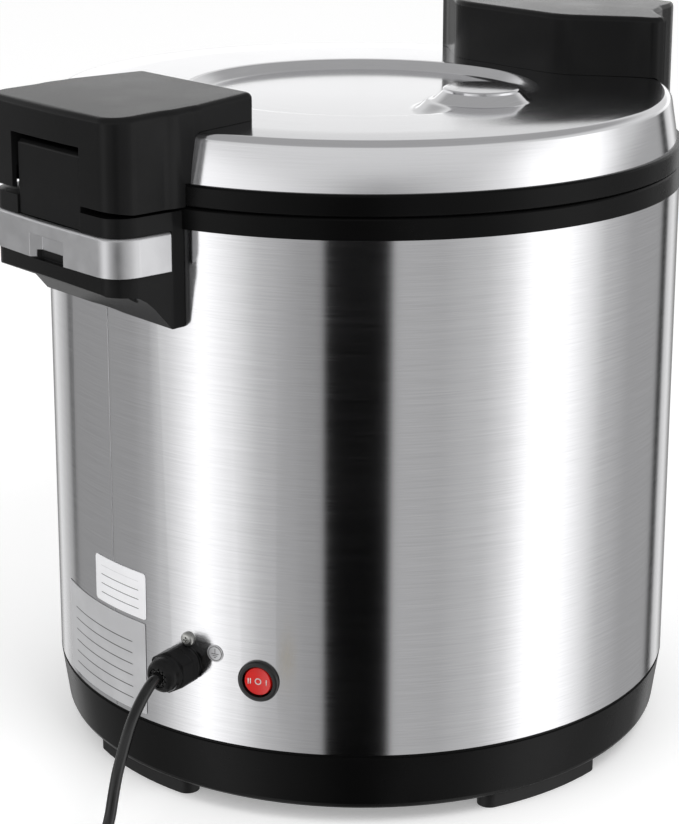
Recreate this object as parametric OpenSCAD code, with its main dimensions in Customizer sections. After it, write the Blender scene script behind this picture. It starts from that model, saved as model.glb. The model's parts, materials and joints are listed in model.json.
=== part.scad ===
// Commercial round rice warmer: a heated steel-skinned body, a hinged lid and a latch at the front.
// The hinge is at the back, on +Y. The latch is at the front, on -Y. The feet stand on z = 0.

/* [Body] */
// Outside diameter of the steel body
body_d = 380; // [360:5:400]
// Height of the steel body
shell_h = 294.5; // [285:0.5:305]
// Thickness of the steel sheet of body and lid
sheet = 0.8; // [0.6:0.1:1.2]
// Wall of the moulded plastic pieces
wall = 3; // [2.5:0.5:3.5]
// Height of the plastic base
base_h = 36.5; // [32:0.5:40]
// Height of the rubber feet
foot_h = 9; // [7:0.5:12]
// Width of a foot
foot_w = 14; // [10:1:18]
// Angle that each foot spans
foot_span = 24; // [16:1:30]
// How far the black rings stand out past the steel
ring_out = 1; // [0.5:0.25:2]
// Height of the body ring
ring_h = 12; // [10:0.5:15]

/* [Pot and heater] */
// Room between the inner pot and the outside of the steel body
room = 30; // [29.5:0.5:33]
// Wall of the inner pot
pot_t = 2; // [1.5:0.25:3]
// Gap between the pot and the heated liner
pot_gap = 6; // [5:0.5:6.5]
// Radius of the pot's bottom edge
pot_r = 26; // [20:1:32]
// Height of the pot's bottom above the floor
pot_z = 90; // [88:1:100]
// Height of the side heater belt
belt_h = 110; // [80:5:130]
// Diameter of the heater plate
plate_d = 220; // [180:5:240]

/* [Lid] */
// Height of the lid ring
lid_ring_h = 12.2; // [10:0.2:14]
// Height of the lid's steel side
lid_side_h = 22; // [18:0.5:24]
// Height of the lid's rounded shoulder
lid_crown = 5; // [4:0.25:6]
// Diameter of the sunk middle of the lid
dish_d = 241; // [230:1:246]
// Depth of the sunk middle of the lid
dish_depth = 5.5; // [4:0.25:7]
// Distance of the steam vent from the middle
vent_at = 72.6; // [68:0.2:76]
// Direction of the steam vent
vent_az = 209; // [200:1:220]
// Diameter of the steam vent's foot
vent_d = 62; // [56:1:66]
// Height of the steam vent
vent_h = 7.7; // [6:0.1:9]
// Diameter of the steam hole
vent_hole_d = 9; // [6:0.5:12]

/* [Housings] */
// How far the housings reach out past the steel
reach = 39.5; // [36:0.5:43]
// Width of the housings at their outer corners
block_w = 122; // [116:1:128]
// Width of the housings at their waist
waist_w = 107; // [100:1:110]
// Distance from the middle to the inner end of the hinge cover
cover_in = 125; // [122:1:135]
// Height of the hinge cover above the lid
cover_rise = 15.5; // [13:0.5:18]
// Height of the front cover above the lid
front_rise = 37; // [30:0.5:42]
// Half width of the front cover's wings
wing_x = 101; // [96:1:104]
// Rounding of the covers' top edges
edge_r = 3.5; // [2:0.25:4]
// Width of the hinge post and of the latch lever
post_w = 59; // [54:1:64]
// Gap on each side of the hinge post and the latch lever
post_gap = 3; // [2:0.25:4]
// Height of the bracket below the seam
bracket_h = 66; // [62:1:70]
// Height of the bright trim band
trim_h = 21.5; // [18:0.5:24]
// Thickness of the trim band
trim_t = 3; // [2.5:0.25:3.5]

/* [Hinge and latch] */
// Diameter of the hinge pin
pin_d = 6; // [5:0.5:7]
// Height of the hinge pin above the seam
pin_up = 22; // [21.5:0.25:23]
// Distance of the hinge pin behind the housing's outer face
pin_back = 9.5; // [9:0.25:10]
// Diameter of the latch pin
latch_pin_d = 4; // [3:0.5:4]
// Radial clearance of pins that turn
run_fit = 0.05; // [0.03:0.01:0.08]
// Gap between pieces that lie close but don't touch
near = 0.3; // [0.25:0.05:0.4]

/* [Switch and cable] */
// Direction of the switch
switch_az = 121.2; // [119:0.2:125]
// Height of the switch
switch_z = 86.5; // [84:0.5:92]
// Diameter of the switch bezel
bezel_d = 24; // [22:0.5:26]
// Diameter of the switch's cut-out
switch_hole_d = 20.3; // [20:0.1:21]
// Diameter of the rocker's ball
rocker_d = 17.6; // [16:0.2:17.8]
// Direction of the cable gland
gland_az = 106.9; // [105:0.1:110]
// Height of the cable gland
gland_z = 88.3; // [86:0.1:94]
// Width of the gland across its flats
gland_af = 22; // [20:0.5:22.5]
// How far the gland stands out of the steel
gland_len = 25; // [24:0.5:27]
// Diameter of the lead
cord_d = 6.5; // [6:0.25:7]

/* [Hidden] */
$fn = 96;

black = "#262628";
dark = "#1c1c1e";
steel = "#c4c5c7";
bright = "#d8d9db";
alloy = "#b9babc";

R = body_d / 2;
z_base = foot_h;
z_shell = z_base + base_h;
z_ring = z_shell + shell_h;
z_seam = z_ring + ring_h;
seam_gap = 0.3;
z_lid = z_seam + seam_gap + lid_ring_h;
z_shoulder = z_lid + lid_side_h;
z_top = z_shoulder + lid_crown;
z_dish = z_top - dish_depth;
ring_r = R + ring_out;
big = 600;

// Radius of the lid's steel side where it stands on its ring, and its lean
side_r = R - 2;
side_lean = 10;
shoulder_x = side_r - (lid_side_h + lid_crown * sin(side_lean)) * tan(side_lean) - lid_crown * cos(side_lean);

// Pot, liner and their flanges, from the inside out
pot_ro = R - room;
liner_ri = pot_ro + pot_gap;
liner_ro = liner_ri + sheet;
flange_ro = liner_ro + 3;
ring_ri = flange_ro + 0.7;
ledge_z = z_seam - 6;
pot_rim_z = ledge_z + sheet + 2.1;
liner_z = pot_z - 0.5 - sheet;
wall_ri = R - sheet;

// Housings: outlines are drawn with +Y outwards, and the front ones are turned round by 180 degrees
face_y = R + reach - 1;
top_z = z_seam - 1.5;
trim_z1 = z_ring;
trim_z0 = trim_z1 - trim_h;
trim_out = 1.6;
pin_y = R + reach - pin_back;
pin_z = z_seam + pin_up;
post_y = R + reach - 3.5;
post_top = pin_z + 8;
post_in = pin_y - 15;
cut_top = post_top + 4;
latch_y = post_y - 11;
latch_z = z_seam + 12;
lug_x = 22;
rib_x = 16;
hook_z = latch_z + 7.5;
nose_y = latch_y - 8;
skirt_y = ring_r + 0.1 + wall;

// Unit vector, and rounding of an outline's corners
function unit(v) = v / norm(v);
function wrap(i, n) = (i + n) % n;

// Points round one corner of an outline, moved in by d. A corner is [x, y, radius].
function corner(a, p, b, d, steps) =
    let (e1 = unit([p[0] - a[0], p[1] - a[1]]), e2 = unit([b[0] - p[0], b[1] - p[1]]),
        n1 = [-e1[1], e1[0]], n2 = [-e2[1], e2[0]],
        c = e1[0] * e2[1] - e1[1] * e2[0], turn = atan2(c, e1 * e2),
        q = [p[0], p[1]] + d * (n1 + n2) / (1 + n1 * n2),
        r = max(p[2] - sign(c) * d, 0.2), t = r * tan(abs(turn) / 2),
        m = q - e1 * t + sign(c) * r * n1)
    [for (k = [0:steps]) let (w = turn * k / steps, s = -sign(c) * r)
        m + s * [n1[0] * cos(w) - n1[1] * sin(w), n1[0] * sin(w) + n1[1] * cos(w)]];

// Whole outline with rounded corners, anticlockwise, moved in by d
function outline(c, d = 0, steps = 5) = let (n = len(c))
    [for (i = [0:n - 1]) each corner(c[wrap(i - 1, n)], c[i], c[wrap(i + 1, n)], d, steps)];

// Both sides of an outline whose right half runs from the inner end outwards
function both(h) = concat(h, [for (i = [len(h) - 1:-1:0]) if (h[i][0] > 0) [-h[i][0], h[i][1], h[i][2]]]);

// Arc of points round a centre
function arc(cx, cy, r, a0, a1, steps = 6) =
    [for (k = [0:steps]) let (a = a0 + (a1 - a0) * k / steps) [cx + r * cos(a), cy + r * sin(a)]];

cover_corners = both([[51, cover_in, 5], [block_w / 2 + 0.5, R - 18, 13], [waist_w / 2, R - 1, 14],
    [block_w / 2, R + 22, 9], [block_w / 2 - 0.5, face_y - 1.5, 13], [0, face_y + 1, 800]]);
bracket_corners = both([[58, R - 20, 5], [waist_w / 2 - 1, R - 3, 13], [block_w / 2 - 1.5, R + 21, 9],
    [block_w / 2 - 2, face_y - 2.5, 13], [0, face_y - 0.5, 800]]);
front_corners = both([[44, cover_in - 5, 40], [wing_x - 15, cover_in + 20, 40], [wing_x, cover_in + 23, 6],
    [wing_x, R - 28, 8], [70, R - 8, 16], [block_w / 2, R + 10, 16],
    [block_w / 2 - 0.5, face_y - 1.5, 13], [0, face_y + 1, 800]]);

// Closed skin through rings of equal length
module skin(rings) {
    n = len(rings[0]);
    m = len(rings);
    polyhedron(points = [for (r = rings) each r],
        faces = concat([[for (i = [0:n - 1]) i]], [[for (i = [n - 1:-1:0]) (m - 1) * n + i]],
            [for (j = [0:m - 2], i = [0:n - 1]) let (k = (i + 1) % n) each
                [[j * n + i, (j + 1) * n + i, (j + 1) * n + k], [j * n + i, (j + 1) * n + k, j * n + k]]]));
}

// Slab on an outline with a rounded top edge and a top that falls outwards by slope
module slab(c, z0, z1, edge, slope = 0) {
    turns = 5;
    skin(concat([[for (p = outline(c)) [p[0], p[1], z0]]],
        [for (k = [0:turns]) let (a = 90 * k / turns)
            [for (p = outline(c, edge * (1 - cos(a))))
                [p[0], p[1], z1 - edge + edge * sin(a) - slope * (p[1] - cover_in)]]]));
}

module prism(c, z0, z1, d = 0) {
    translate([0, 0, z0]) linear_extrude(z1 - z0) polygon(outline(c, d));
}

module ring(r0, r1, z0, z1) {
    translate([0, 0, z0]) difference() {
        cylinder(r = r1, h = z1 - z0);
        translate([0, 0, -1]) cylinder(r = r0, h = z1 - z0 + 2);
    }
}

// Profile in (y, z) drawn across the housing, centred on x = 0
module across(w, points) {
    rotate([90, 0, 90]) translate([0, 0, -w / 2]) linear_extrude(w) polygon(points);
}

module rod_x(r, w, y, z) {
    translate([-w / 2, y, z]) rotate([0, 90, 0]) cylinder(r = r, h = w);
}

module front() {
    rotate([0, 0, 180]) children();
}

// Places a child on the steel at a direction and height, with its z axis pointing outwards
module on_steel(az, z) {
    rotate([0, 0, az]) translate([R, 0, z]) rotate([0, 90, 0]) children();
}

// Base

module base_tray() color(black) difference() {
    inner = wall_ri - near;
    rotate_extrude() polygon(concat([[0, z_base]], arc(R - 10, z_base + 6, 6, -90, -14, 4),
        [[R, z_shell - 2], [R - 0.6, z_shell - 2], [R - 0.6, z_shell], [inner, z_shell],
            [inner, z_shell + 8], [inner - wall, z_shell + 8], [inner - wall - 3, z_base + 10],
            [inner - wall - 8, z_base + wall], [0, z_base + wall]]));
    for (a = [0:15:345]) rotate([0, 0, a]) translate([92, -2, z_base - 1]) cube([46, 4, wall + 2]);
    foot_places() translate([0, 0, z_base - 1]) cylinder(r = 2.2, h = wall + 2);
}

// The four feet stand a little off the square axes
foot_mid = R - 10 - foot_w / 2;
module foot_turns() {
    for (a = [-2, 91, 176, 270]) rotate([0, 0, a]) children();
}

module foot_places() {
    foot_turns() translate([foot_mid, 0, 0]) children();
}

module feet() color(dark) difference() {
    foot_turns() linear_extrude(foot_h) {
        intersection() {
            difference() {
                circle(r = foot_mid + foot_w / 2);
                circle(r = foot_mid - foot_w / 2);
            }
            polygon([[0, 0], 2 * R * [cos(foot_span / 2), -sin(foot_span / 2)],
                2 * R * [cos(foot_span / 2), sin(foot_span / 2)]]);
        }
        for (s = [-1, 1]) rotate(s * foot_span / 2) translate([foot_mid, 0]) circle(d = foot_w);
    }
    foot_places() {
        translate([0, 0, -1]) cylinder(r = 4.5, h = 5);
        translate([0, 0, -1]) cylinder(r = 2.2, h = foot_h + 2);
    }
}

module foot_screws() color(steel) foot_places() {
    translate([0, 0, 1.6]) cylinder(r = 3.8, h = 2.4);
    translate([0, 0, 3]) cylinder(r = 2, h = foot_h + wall + 1);
}

// Body

module outer_shell() color(steel) difference() {
    ring(wall_ri, R, z_shell, z_ring);
    on_steel(switch_az, switch_z) translate([0, 0, -5]) cylinder(d = switch_hole_d, h = 10);
    on_steel(gland_az, gland_z) translate([0, 0, -5]) cylinder(r = 8.3, h = 10);
    on_steel(gland_az + 1, gland_z + 15.4) translate([0, 0, -5]) cylinder(r = 2.2, h = 10);
    for (s = [0, 180]) rotate([0, 0, s]) bracket_axes() translate([0, 0, -4]) cylinder(r = 2.3, h = 12);
}

module body_ring() color(black) rotate_extrude() polygon([[R + 0.1, z_ring], [ring_r, z_ring],
    [ring_r, z_seam - 1], [ring_r - 1, z_seam], [ring_ri, z_seam], [ring_ri, ledge_z],
    [liner_ro + near, ledge_z], [liner_ro + near, ledge_z - 4], [wall_ri - near - wall, z_ring - 9],
    [wall_ri - near, z_ring - 9], [wall_ri - near, z_ring]]);

module inner_liner() color(alloy) rotate_extrude() polygon(concat([[0, liner_z], [liner_ro - 14, liner_z]],
    arc(liner_ro - 14, liner_z + 14, 14, -90, 0, 5), [[liner_ro, ledge_z], [flange_ro, ledge_z],
        [flange_ro, ledge_z + sheet], [liner_ri, ledge_z + sheet]],
    arc(liner_ro - 14, liner_z + 14, 14 - sheet, 0, -90, 5), [[0, liner_z + sheet]]));

module inner_pot() color("#6f7073") rotate_extrude() polygon(concat([[0, pot_z]],
    arc(pot_ro - pot_r, pot_z + pot_r, pot_r, -90, 0, 7), [[pot_ro, pot_rim_z - 2], [flange_ro, pot_rim_z - 2],
        [flange_ro, pot_rim_z], [pot_ro - pot_t, pot_rim_z]],
    arc(pot_ro - pot_r, pot_z + pot_r, pot_r - pot_t, 0, -90, 7), [[0, pot_z + pot_t]]));

module heater_plate() color(alloy) {
    translate([0, 0, liner_z - near - 8]) cylinder(d = plate_d, h = 8);
    for (f = [0.16, 0.28, 0.4]) ring(plate_d * f - 4, plate_d * f + 4, liner_z - near - 13, liner_z - near - 8);
}

module side_heater() color("#c46a3a") ring(liner_ro + near, liner_ro + near + 2, pot_z + 60, pot_z + 60 + belt_h);

module insulation_blanket() color("#e8e2d0") ring(liner_ro + 2 * near + 2, R - 6, pot_z + 35, z_ring - 12);

sense_y = max(liner_ro - 33, plate_d / 2 + 14);
module thermostat() color("#e9e4d8") translate([0, -sense_y, liner_z - near - 12]) {
    cylinder(d = 17, h = 12);
    translate([-14, -4, 10]) cube([28, 8, 2]);
}

module thermal_fuse() color(bright) translate([0, sense_y, liner_z - near - 9]) {
    translate([0, 0, 5]) rotate([0, 90, 0]) cylinder(r = 4, h = 30, center = true);
    translate([-9, -6, 5]) cube([18, 12, 4]);
}

block_at = [-40, R - 72];
module terminal_block() color("#e9e4d8") translate([block_at[0] - 20, block_at[1] - 9, z_base + wall]) difference() {
    cube([40, 18, 16]);
    for (x = [8, 20, 32]) translate([x, -1, 8]) rotate([-90, 0, 0]) cylinder(r = 1.5, h = 20);
    for (x = [8, 20, 32]) translate([x, 9, 9]) cylinder(r = 1.8, h = 9);
}

// Wires from the gland's inner end to the terminal block
module inner_wires() color("#7a3a2a") for (s = [-1, 1]) {
    start = [(R - 11) * cos(gland_az) + 3 * s, (R - 11) * sin(gland_az), gland_z];
    turn = [start[0] + 4 * s, start[1] - 8, z_base + wall + 26];
    end = [block_at[0] + 12 * s, block_at[1] + 5, z_base + wall + 8];
    tube([start, [start[0] + s, start[1] - 5, start[2] - 6], turn, [end[0], end[1] + 16, end[2] + 3],
        [end[0], end[1] + 7, end[2]], end], 1.2, 6);
}

// Brackets and bands

// The underside hangs as a cove from the band's lower edge to the steel
cove_r = 56;
lip_z = trim_z0 - 9;
bracket_z0 = z_seam - bracket_h;
function bracket_side() = concat([[R - 30, bracket_z0], [R - 0.5, bracket_z0]],
    [for (k = [1:5]) let (f = k / 5) [R + 26 * f, bracket_z0 + (lip_z - 2 - bracket_z0) * sin(90 * f)]],
    [[face_y - 3, lip_z - 1.5], [face_y, lip_z + 1], [face_y + 5, lip_z + 12], [face_y + 5, top_z],
        [R - 30, top_z]]);

// The screws that hold a bracket from inside the steel
screw_x = 38;
boss_x = waist_w / 2 - 9.5;
boss_y = R + 17;
screw_y = sqrt(wall_ri * wall_ri - pow(screw_x + 4, 2));
module bracket_axes() {
    for (x = [-screw_x, screw_x], z = [bracket_z0 + 18, trim_z0 + 6])
        translate([x, screw_y, z]) rotate([-90, 0, 0]) children();
}

module notch(d) {
    translate([0, 0, trim_z0 - 1]) linear_extrude(trim_h * 0.62 + 1)
        polygon([[-18, face_y + 4], [-18 + d, face_y + 2], [-11, face_y - 4.5], [11, face_y - 4.5],
            [18 - d, face_y + 2], [18, face_y + 4]]);
}

module bracket(recess_in, recess_z) {
    difference() {
        intersection() {
            prism(bracket_corners, bracket_z0, top_z);
            across(2 * R, bracket_side());
        }
        translate([0, 0, bracket_z0 - 1]) cylinder(r = R + 0.1, h = z_ring - bracket_z0 + 1);
        translate([0, 0, z_ring - 0.1]) cylinder(r = ring_r + 0.1, h = ring_h + 1);
        translate([-post_w / 2 - near, recess_in, recess_z]) cube([post_w + 2 * near, 60, 60]);
        band_space(trim_z0 - near / 2, trim_z1, trim_out - trim_t - 0.1);
        translate([-20, face_y - 8, trim_z0 + 3.8]) cube([40, 20, trim_h - 3.8]);
        notch(0);
        for (x = [-boss_x, boss_x]) translate([x, boss_y, bracket_z0]) {
            cylinder(r = 5.5, h = lip_z - bracket_z0 + 3);
            cylinder(r = 2.2, h = 52);
        }
        bracket_axes() translate([0, 0, -4]) cylinder(r = 2.1, h = 24);
    }
}

// Space round the bracket from its skin moved in by -inset outwards
module band_space(z0, z1, out) {
    difference() {
        translate([-R, R - 1, z0]) cube([2 * R, 60, z1 - z0]);
        prism(bracket_corners, z0 - 1, z1 + 1, -out);
    }
}

// Rounded strip swept along the bracket's skin from one side of the waist to the other
trim_section = concat([[trim_t - trim_out, trim_z1]],
    [for (k = [4:-1:0]) let (a = 22.5 * k) [1.6 * (1 - cos(a)) - trim_out, trim_z1 - 1.6 + 1.6 * sin(a)]],
    [[-trim_out, trim_z0], [trim_t - trim_out, trim_z0]]);
function trim_line(d) = let (p = outline(bracket_corners, d), n = len(p)) [for (i = [11:n - 12]) p[i]];

module trim_band() difference() {
    union() {
        lines = [for (q = trim_section) trim_line(q[0])];
        skin([for (i = [0:len(lines[0]) - 1]) [for (j = [0:len(lines) - 1])
            [lines[j][i][0], lines[j][i][1], trim_section[j][1]]]]);
        translate([-19.5, face_y - 7.5, trim_z0 + 4]) cube([39, 7, trim_h * 0.62]);
    }
    notch(0);
}

root_z = z_ring - 4;
module rear_bracket() color(black) bracket(post_in - near, root_z);

// The front bracket also carries two lugs for the latch pin
module front_bracket() color(black) front() difference() {
    union() {
        bracket(latch_y - 8, z_ring - 2);
        for (s = [-1, 1]) translate([s * (lug_x + 2.5), 0, 0]) {
            rod_x(5.5, 5, latch_y, latch_z);
            across(5, [[latch_y - 6, z_ring - 3], [latch_y + 2, z_ring - 3], [latch_y + 5, latch_z],
                [latch_y - 5.5, latch_z]]);
        }
    }
    rod_x(latch_pin_d / 2 + 0.02, 2 * lug_x + 20, latch_y, latch_z);
}
module rear_trim_band() color(bright) trim_band();
module front_trim_band() color(bright) front() trim_band();

module bracket_screws() color(steel) for (s = [0, 180]) rotate([0, 0, s]) {
    for (x = [-boss_x, boss_x]) translate([x, boss_y, 0]) {
        translate([0, 0, lip_z]) cylinder(r = 4, h = 3);
        translate([0, 0, lip_z + 1]) cylinder(r = 2, h = 12);
    }
    bracket_axes() {
        translate([0, 0, -2.4]) cylinder(r = 3.8, h = 2.4);
        cylinder(r = 2, h = 18);
    }
}

// Hinge

module hinge_post() color(dark) difference() {
    across(post_w, concat([[post_in, root_z], [post_y - 1.6, root_z], [post_y - 1.6, z_ring + near],
        [post_y, z_ring + near], [post_y, post_top - 2], [post_y - 2, post_top]],
        arc(post_in + 7, post_top - 7, 7, 90, 180, 4)));
    rod_x(pin_d / 2 + 0.02, post_w + 2, pin_y, pin_z);
}

module hinge_pin() color(steel) rod_x(pin_d / 2, post_w + 2 * post_gap + 16, pin_y, pin_z);

// Lid

function lid_skin(t) = concat([[0, z_dish - t]],
    arc(dish_d / 2 - 2 * dish_depth * sin(60), z_dish + dish_depth, dish_depth + t, -90, -30, 4),
    arc(dish_d / 2, z_top - dish_depth, dish_depth - t, 150, 90, 4),
    arc(shoulder_x, z_shoulder, lid_crown - t, 90, side_lean, 5), [[side_r - t, z_lid - 1]]);

// Outline of the steam vent's boss, raised from the lid's sunk middle
function vent_side(t) = concat([[0, -6], [vent_d / 2 - t, -6], [vent_d / 2 - t, -t], [vent_d / 2 - 2 - t, 0.6 - t]],
    arc(vent_d / 2 - 8, vent_h - 2, 2 - t, 30, 90, 3), [[0, vent_h - t]]);

module at_vent() {
    rotate([0, 0, vent_az]) translate([vent_at, 0, z_dish]) children();
}

module lid_space(t, z) {
    rotate_extrude() polygon(concat(lid_skin(t), [[side_r - t, z], [0, z]]));
}

module lid_shell() color(steel) difference() {
    union() {
        lid_space(0, z_lid);
        at_vent() rotate_extrude() polygon(vent_side(0));
    }
    lid_space(sheet, z_lid - 5);
    at_vent() rotate_extrude() polygon(vent_side(sheet));
    at_vent() translate([0, 0, -2]) cylinder(d = vent_hole_d, h = vent_h + 5);
}

module lid_ring() color(black) rotate_extrude() polygon([[ring_ri, z_seam + seam_gap],
    [ring_r - 1, z_seam + seam_gap], [ring_r, z_seam + seam_gap + 1], [ring_r, z_lid - 1], [ring_r - 1, z_lid],
    [side_r - sheet - 0.2, z_lid], [side_r - sheet - 0.2 - 6 * tan(side_lean), z_lid + 6], [side_r - sheet - wall - 1, z_lid + 6],
    [side_r - sheet - wall - 1, z_lid - 3], [pot_ro - 4, z_lid - 3], [pot_ro - 4, z_lid - 6], [ring_ri, z_lid - 6]]);

plate_z = z_lid - 6 - near - 1.2;
module inner_plate() color(alloy) difference() {
    union() {
        translate([0, 0, plate_z]) cylinder(r = ring_ri - 1.5, h = 1.2);
        ring(pot_ro - 26, pot_ro - 22, plate_z - 2, plate_z);
    }
    at_vent() translate([0, 0, -60]) cylinder(d = vent_hole_d + 5 + near, h = 60);
}

module lid_gasket() color("#d9d9d6") rotate_extrude() polygon([[pot_ro - 5, plate_z], [pot_ro + 5.5, plate_z],
    [pot_ro + 5.5, plate_z - 2], [pot_ro + 4, pot_rim_z + near], [pot_ro - 2, pot_rim_z + near],
    [pot_ro - 5, plate_z - 2]]);

module lid_insulation() color("#e8e2d0") difference() {
    translate([0, 0, plate_z + 1.2 + near]) cylinder(r = pot_ro - 4 - near, h = z_dish - sheet - plate_z - 1.2 - 2 * near);
    at_vent() translate([0, 0, -60]) cylinder(d = vent_hole_d + 5 + 2 * near, h = 90);
}

module vent_grommet() color(dark) at_vent() difference() {
    union() {
        translate([0, 0, plate_z - z_dish - 1]) cylinder(d = vent_hole_d + 5, h = z_dish - plate_z + 1 + vent_h - sheet - near);
        cylinder(d = vent_hole_d - 0.1, h = vent_h + 0.4);
        translate([0, 0, vent_h + 0.1]) cylinder(d = vent_hole_d + 4, h = 0.9);
    }
    translate([0, 0, -60]) cylinder(d = vent_hole_d - 3, h = 90);
}

// Space that the lid and its ring fill, with a hair of clearance, for covers that sit on them
module lid_clear() {
    translate([0, 0, 0.03]) rotate_extrude() polygon(concat([[0, z_dish]],
        arc(dish_d / 2 - 2 * dish_depth * sin(60), z_dish + dish_depth, dish_depth, -90, -30, 4),
        arc(dish_d / 2, z_top - dish_depth, dish_depth, 150, 90, 4),
        arc(shoulder_x, z_shoulder, lid_crown + 0.1, 90, side_lean, 5),
        [[side_r + 0.1, z_lid + 0.1], [ring_r + 0.1, z_lid + 0.1], [ring_r + 0.1, z_seam - 20], [0, z_seam - 20]]));
}

cover_z0 = z_seam + seam_gap;
cover_top = z_top + cover_rise;
cover_slope = 0.03;
cover_low = cover_top - cover_slope * (face_y - cover_in);

// Bottom edge of a cover, raised where it swings over the bracket
module swing_cut() {
    across(2 * R, [[0, cover_z0 - 20], [face_y + 10, cover_z0 - 20], [face_y + 10, cover_z0 + 4],
        [pin_y - 6, cover_z0], [0, cover_z0]]);
}

module post_cut(top) {
    translate([-post_w / 2 - post_gap, R + ring_out + 8, cover_z0 - 1])
        cube([post_w + 2 * post_gap, 60, top - cover_z0 + 1]);
}

// Inside of a cover, leaving the skirt that wraps round the lid ring and two screw bosses
module cover_hollow(c, top) {
    difference() {
        prism(c, cover_z0 - 10, top, wall);
        ring(ring_r - 2, skirt_y, cover_z0 - 12, top + 1);
        for (x = [-30, 30]) translate([x, R - 32, z_top - 8]) cylinder(r = 5, h = 60);
    }
}

module hinge_cover() color(black) {
    ear_w = 7;
    ear_x = post_w / 2 + post_gap + ear_w / 2;
    difference() {
        union() {
            difference() {
                slab(cover_corners, cover_z0 - 5, cover_top, edge_r, cover_slope);
                cover_hollow(cover_corners, cover_low - wall);
            }
            for (s = [-1, 1]) translate([s * ear_x, 0, 0]) {
                rod_x(9, ear_w, pin_y, pin_z);
                across(ear_w, [[pin_y - 9, pin_z], [pin_y + 7, pin_z], [pin_y + 7, cover_low - wall + 0.5],
                    [pin_y - 9, cover_low - wall + 0.5]]);
            }
        }
        lid_clear();
        swing_cut();
        post_cut(cut_top);
        translate([-post_w / 2 - post_gap, skirt_y + 0.5, cover_z0 - 1])
            cube([post_w + 2 * post_gap, face_y - 2 - wall - skirt_y, cover_low - wall - cover_z0]);
        rod_x(pin_d / 2 + run_fit, post_w + 2 * post_gap + 16.6, pin_y, pin_z);
    }
}

// Finger recess above the latch lever, or the box round it when w is a wall
module pull(w) {
    translate([-42 - w, face_y - 15 - w, cut_top - 1 - w]) cube([84 + 2 * w, 60, 16 + 2 * w]);
}

module keeper_axes() {
    for (x = [-9, 9]) translate([x, skirt_y, keeper_z - 6]) rotate([-90, 0, 0]) children();
}

module front_cover() color(black) front() difference() {
    slab(front_corners, cover_z0 - 5, z_top + front_rise, edge_r);
    difference() {
        cover_hollow(front_corners, z_top + front_rise - wall);
        pull(wall);
    }
    lid_clear();
    swing_cut();
    post_cut(cut_top);
    for (s = [-1, 1]) translate([s * (block_w / 2 + 44) - 40, 0, cover_z0 - 30])
        cube([80, 2 * R, z_shoulder - 2.5 - cover_z0 + 30]);
    pull(0);
    keeper_axes() translate([0, 0, -wall + 0.4]) cylinder(r = 1.3, h = wall);
}

// Latch

keeper_z = hook_z - near;
module latch_keeper() color(steel) front() difference() {
    union() {
        translate([-14, skirt_y - 1.2, keeper_z - 2]) cube([28, nose_y - near - skirt_y + 1.2, 2]);
        translate([-14, skirt_y + 0.05, keeper_z - 11]) cube([28, 2, 11]);
    }
    translate([0, 0, keeper_z - 30]) cylinder(r = skirt_y + 0.03, h = 60);
    keeper_axes() translate([0, 0, -1]) cylinder(r = 1.3, h = 8);
}

module keeper_screws() color(steel) front() keeper_axes() {
    translate([0, 0, 2.1]) cylinder(r = 2.6, h = 1.6);
    translate([0, 0, -2.2]) cylinder(r = 1.2, h = 5);
}

module latch_lever() color(dark) front() difference() {
    union() {
        across(post_w, [[post_y - 4, z_ring + 1], [post_y, z_ring + 1], [post_y, post_top - 2],
            [post_y - 2, post_top], [post_y - 4, post_top]]);
        for (s = [-1, 1]) translate([s * (rib_x + 2.5), 0, 0]) {
            rod_x(6, 5, latch_y, latch_z);
            across(5, [[latch_y, latch_z - 6], [post_y - 3, latch_z - 10], [post_y - 3, latch_z + 10],
                [latch_y, latch_z + 6]]);
        }
        across(24, [[nose_y, hook_z], [nose_y + 3, hook_z + 3.5], [post_y - 3, hook_z + 3.5],
            [post_y - 3, hook_z], [nose_y + 4, hook_z]]);
        for (s = [-1, 1]) translate([s * 13.5, 0, 0])
            across(6, [[latch_y + 1, hook_z - 6], [post_y - 3, hook_z - 6], [post_y - 3, hook_z + 3.5],
                [nose_y + 5, hook_z + 3.5]]);
    }
    rod_x(latch_pin_d / 2 + run_fit, 2 * lug_x, latch_y, latch_z);
}

module latch_pin() color(steel) front() rod_x(latch_pin_d / 2, 2 * lug_x + 9, latch_y, latch_z);

// Closed coil on the pin with one leg down behind the lever and one on the bracket
module latch_spring() color(steel) front() {
    difference() {
        rod_x(latch_pin_d / 2 + 1.6, 18, latch_y, latch_z);
        rod_x(latch_pin_d / 2 + 0.3, 20, latch_y, latch_z);
    }
    translate([-8.5, latch_y + latch_pin_d / 2 + 0.9, latch_z - 9]) cylinder(r = 0.6, h = 9);
    translate([8.5, latch_y - latch_pin_d / 2 - 0.9, top_z - 4]) cylinder(r = 0.6, h = latch_z - top_z + 4);
}

// Switch

module switch_housing() color(dark) on_steel(switch_az, switch_z) difference() {
    union() {
        rotate_extrude() polygon(concat([[0, 0.05], [bezel_d / 2, 0.05]], arc(bezel_d / 2 - 1.4, 1, 1.4, 0, 90, 4),
            [[0, 2.4]]));
        translate([0, 0, -14]) cylinder(d = switch_hole_d - 0.3, h = 15);
    }
    translate([0, 0, -9]) cylinder(r = rocker_d / 2 + 0.25, h = 20);
    rotate([0, 90, 0]) translate([2.5, 0, -10]) cylinder(r = 1.05, h = 20);
}

module rocker() color("#d8201c") on_steel(switch_az, switch_z) {
    difference() {
        translate([0, 0, -2.5]) sphere(d = rocker_d);
        translate([0, 0, -20 - 7]) cube([40, 40, 40], center = true);
        translate([0, 0, 31.2]) rotate([0, 90, 0]) cylinder(r = 30, h = 40, center = true);
    }
    translate([-9.6, 0, -2.5]) rotate([0, 90, 0]) cylinder(r = 1, h = 19.2);
}

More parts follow.
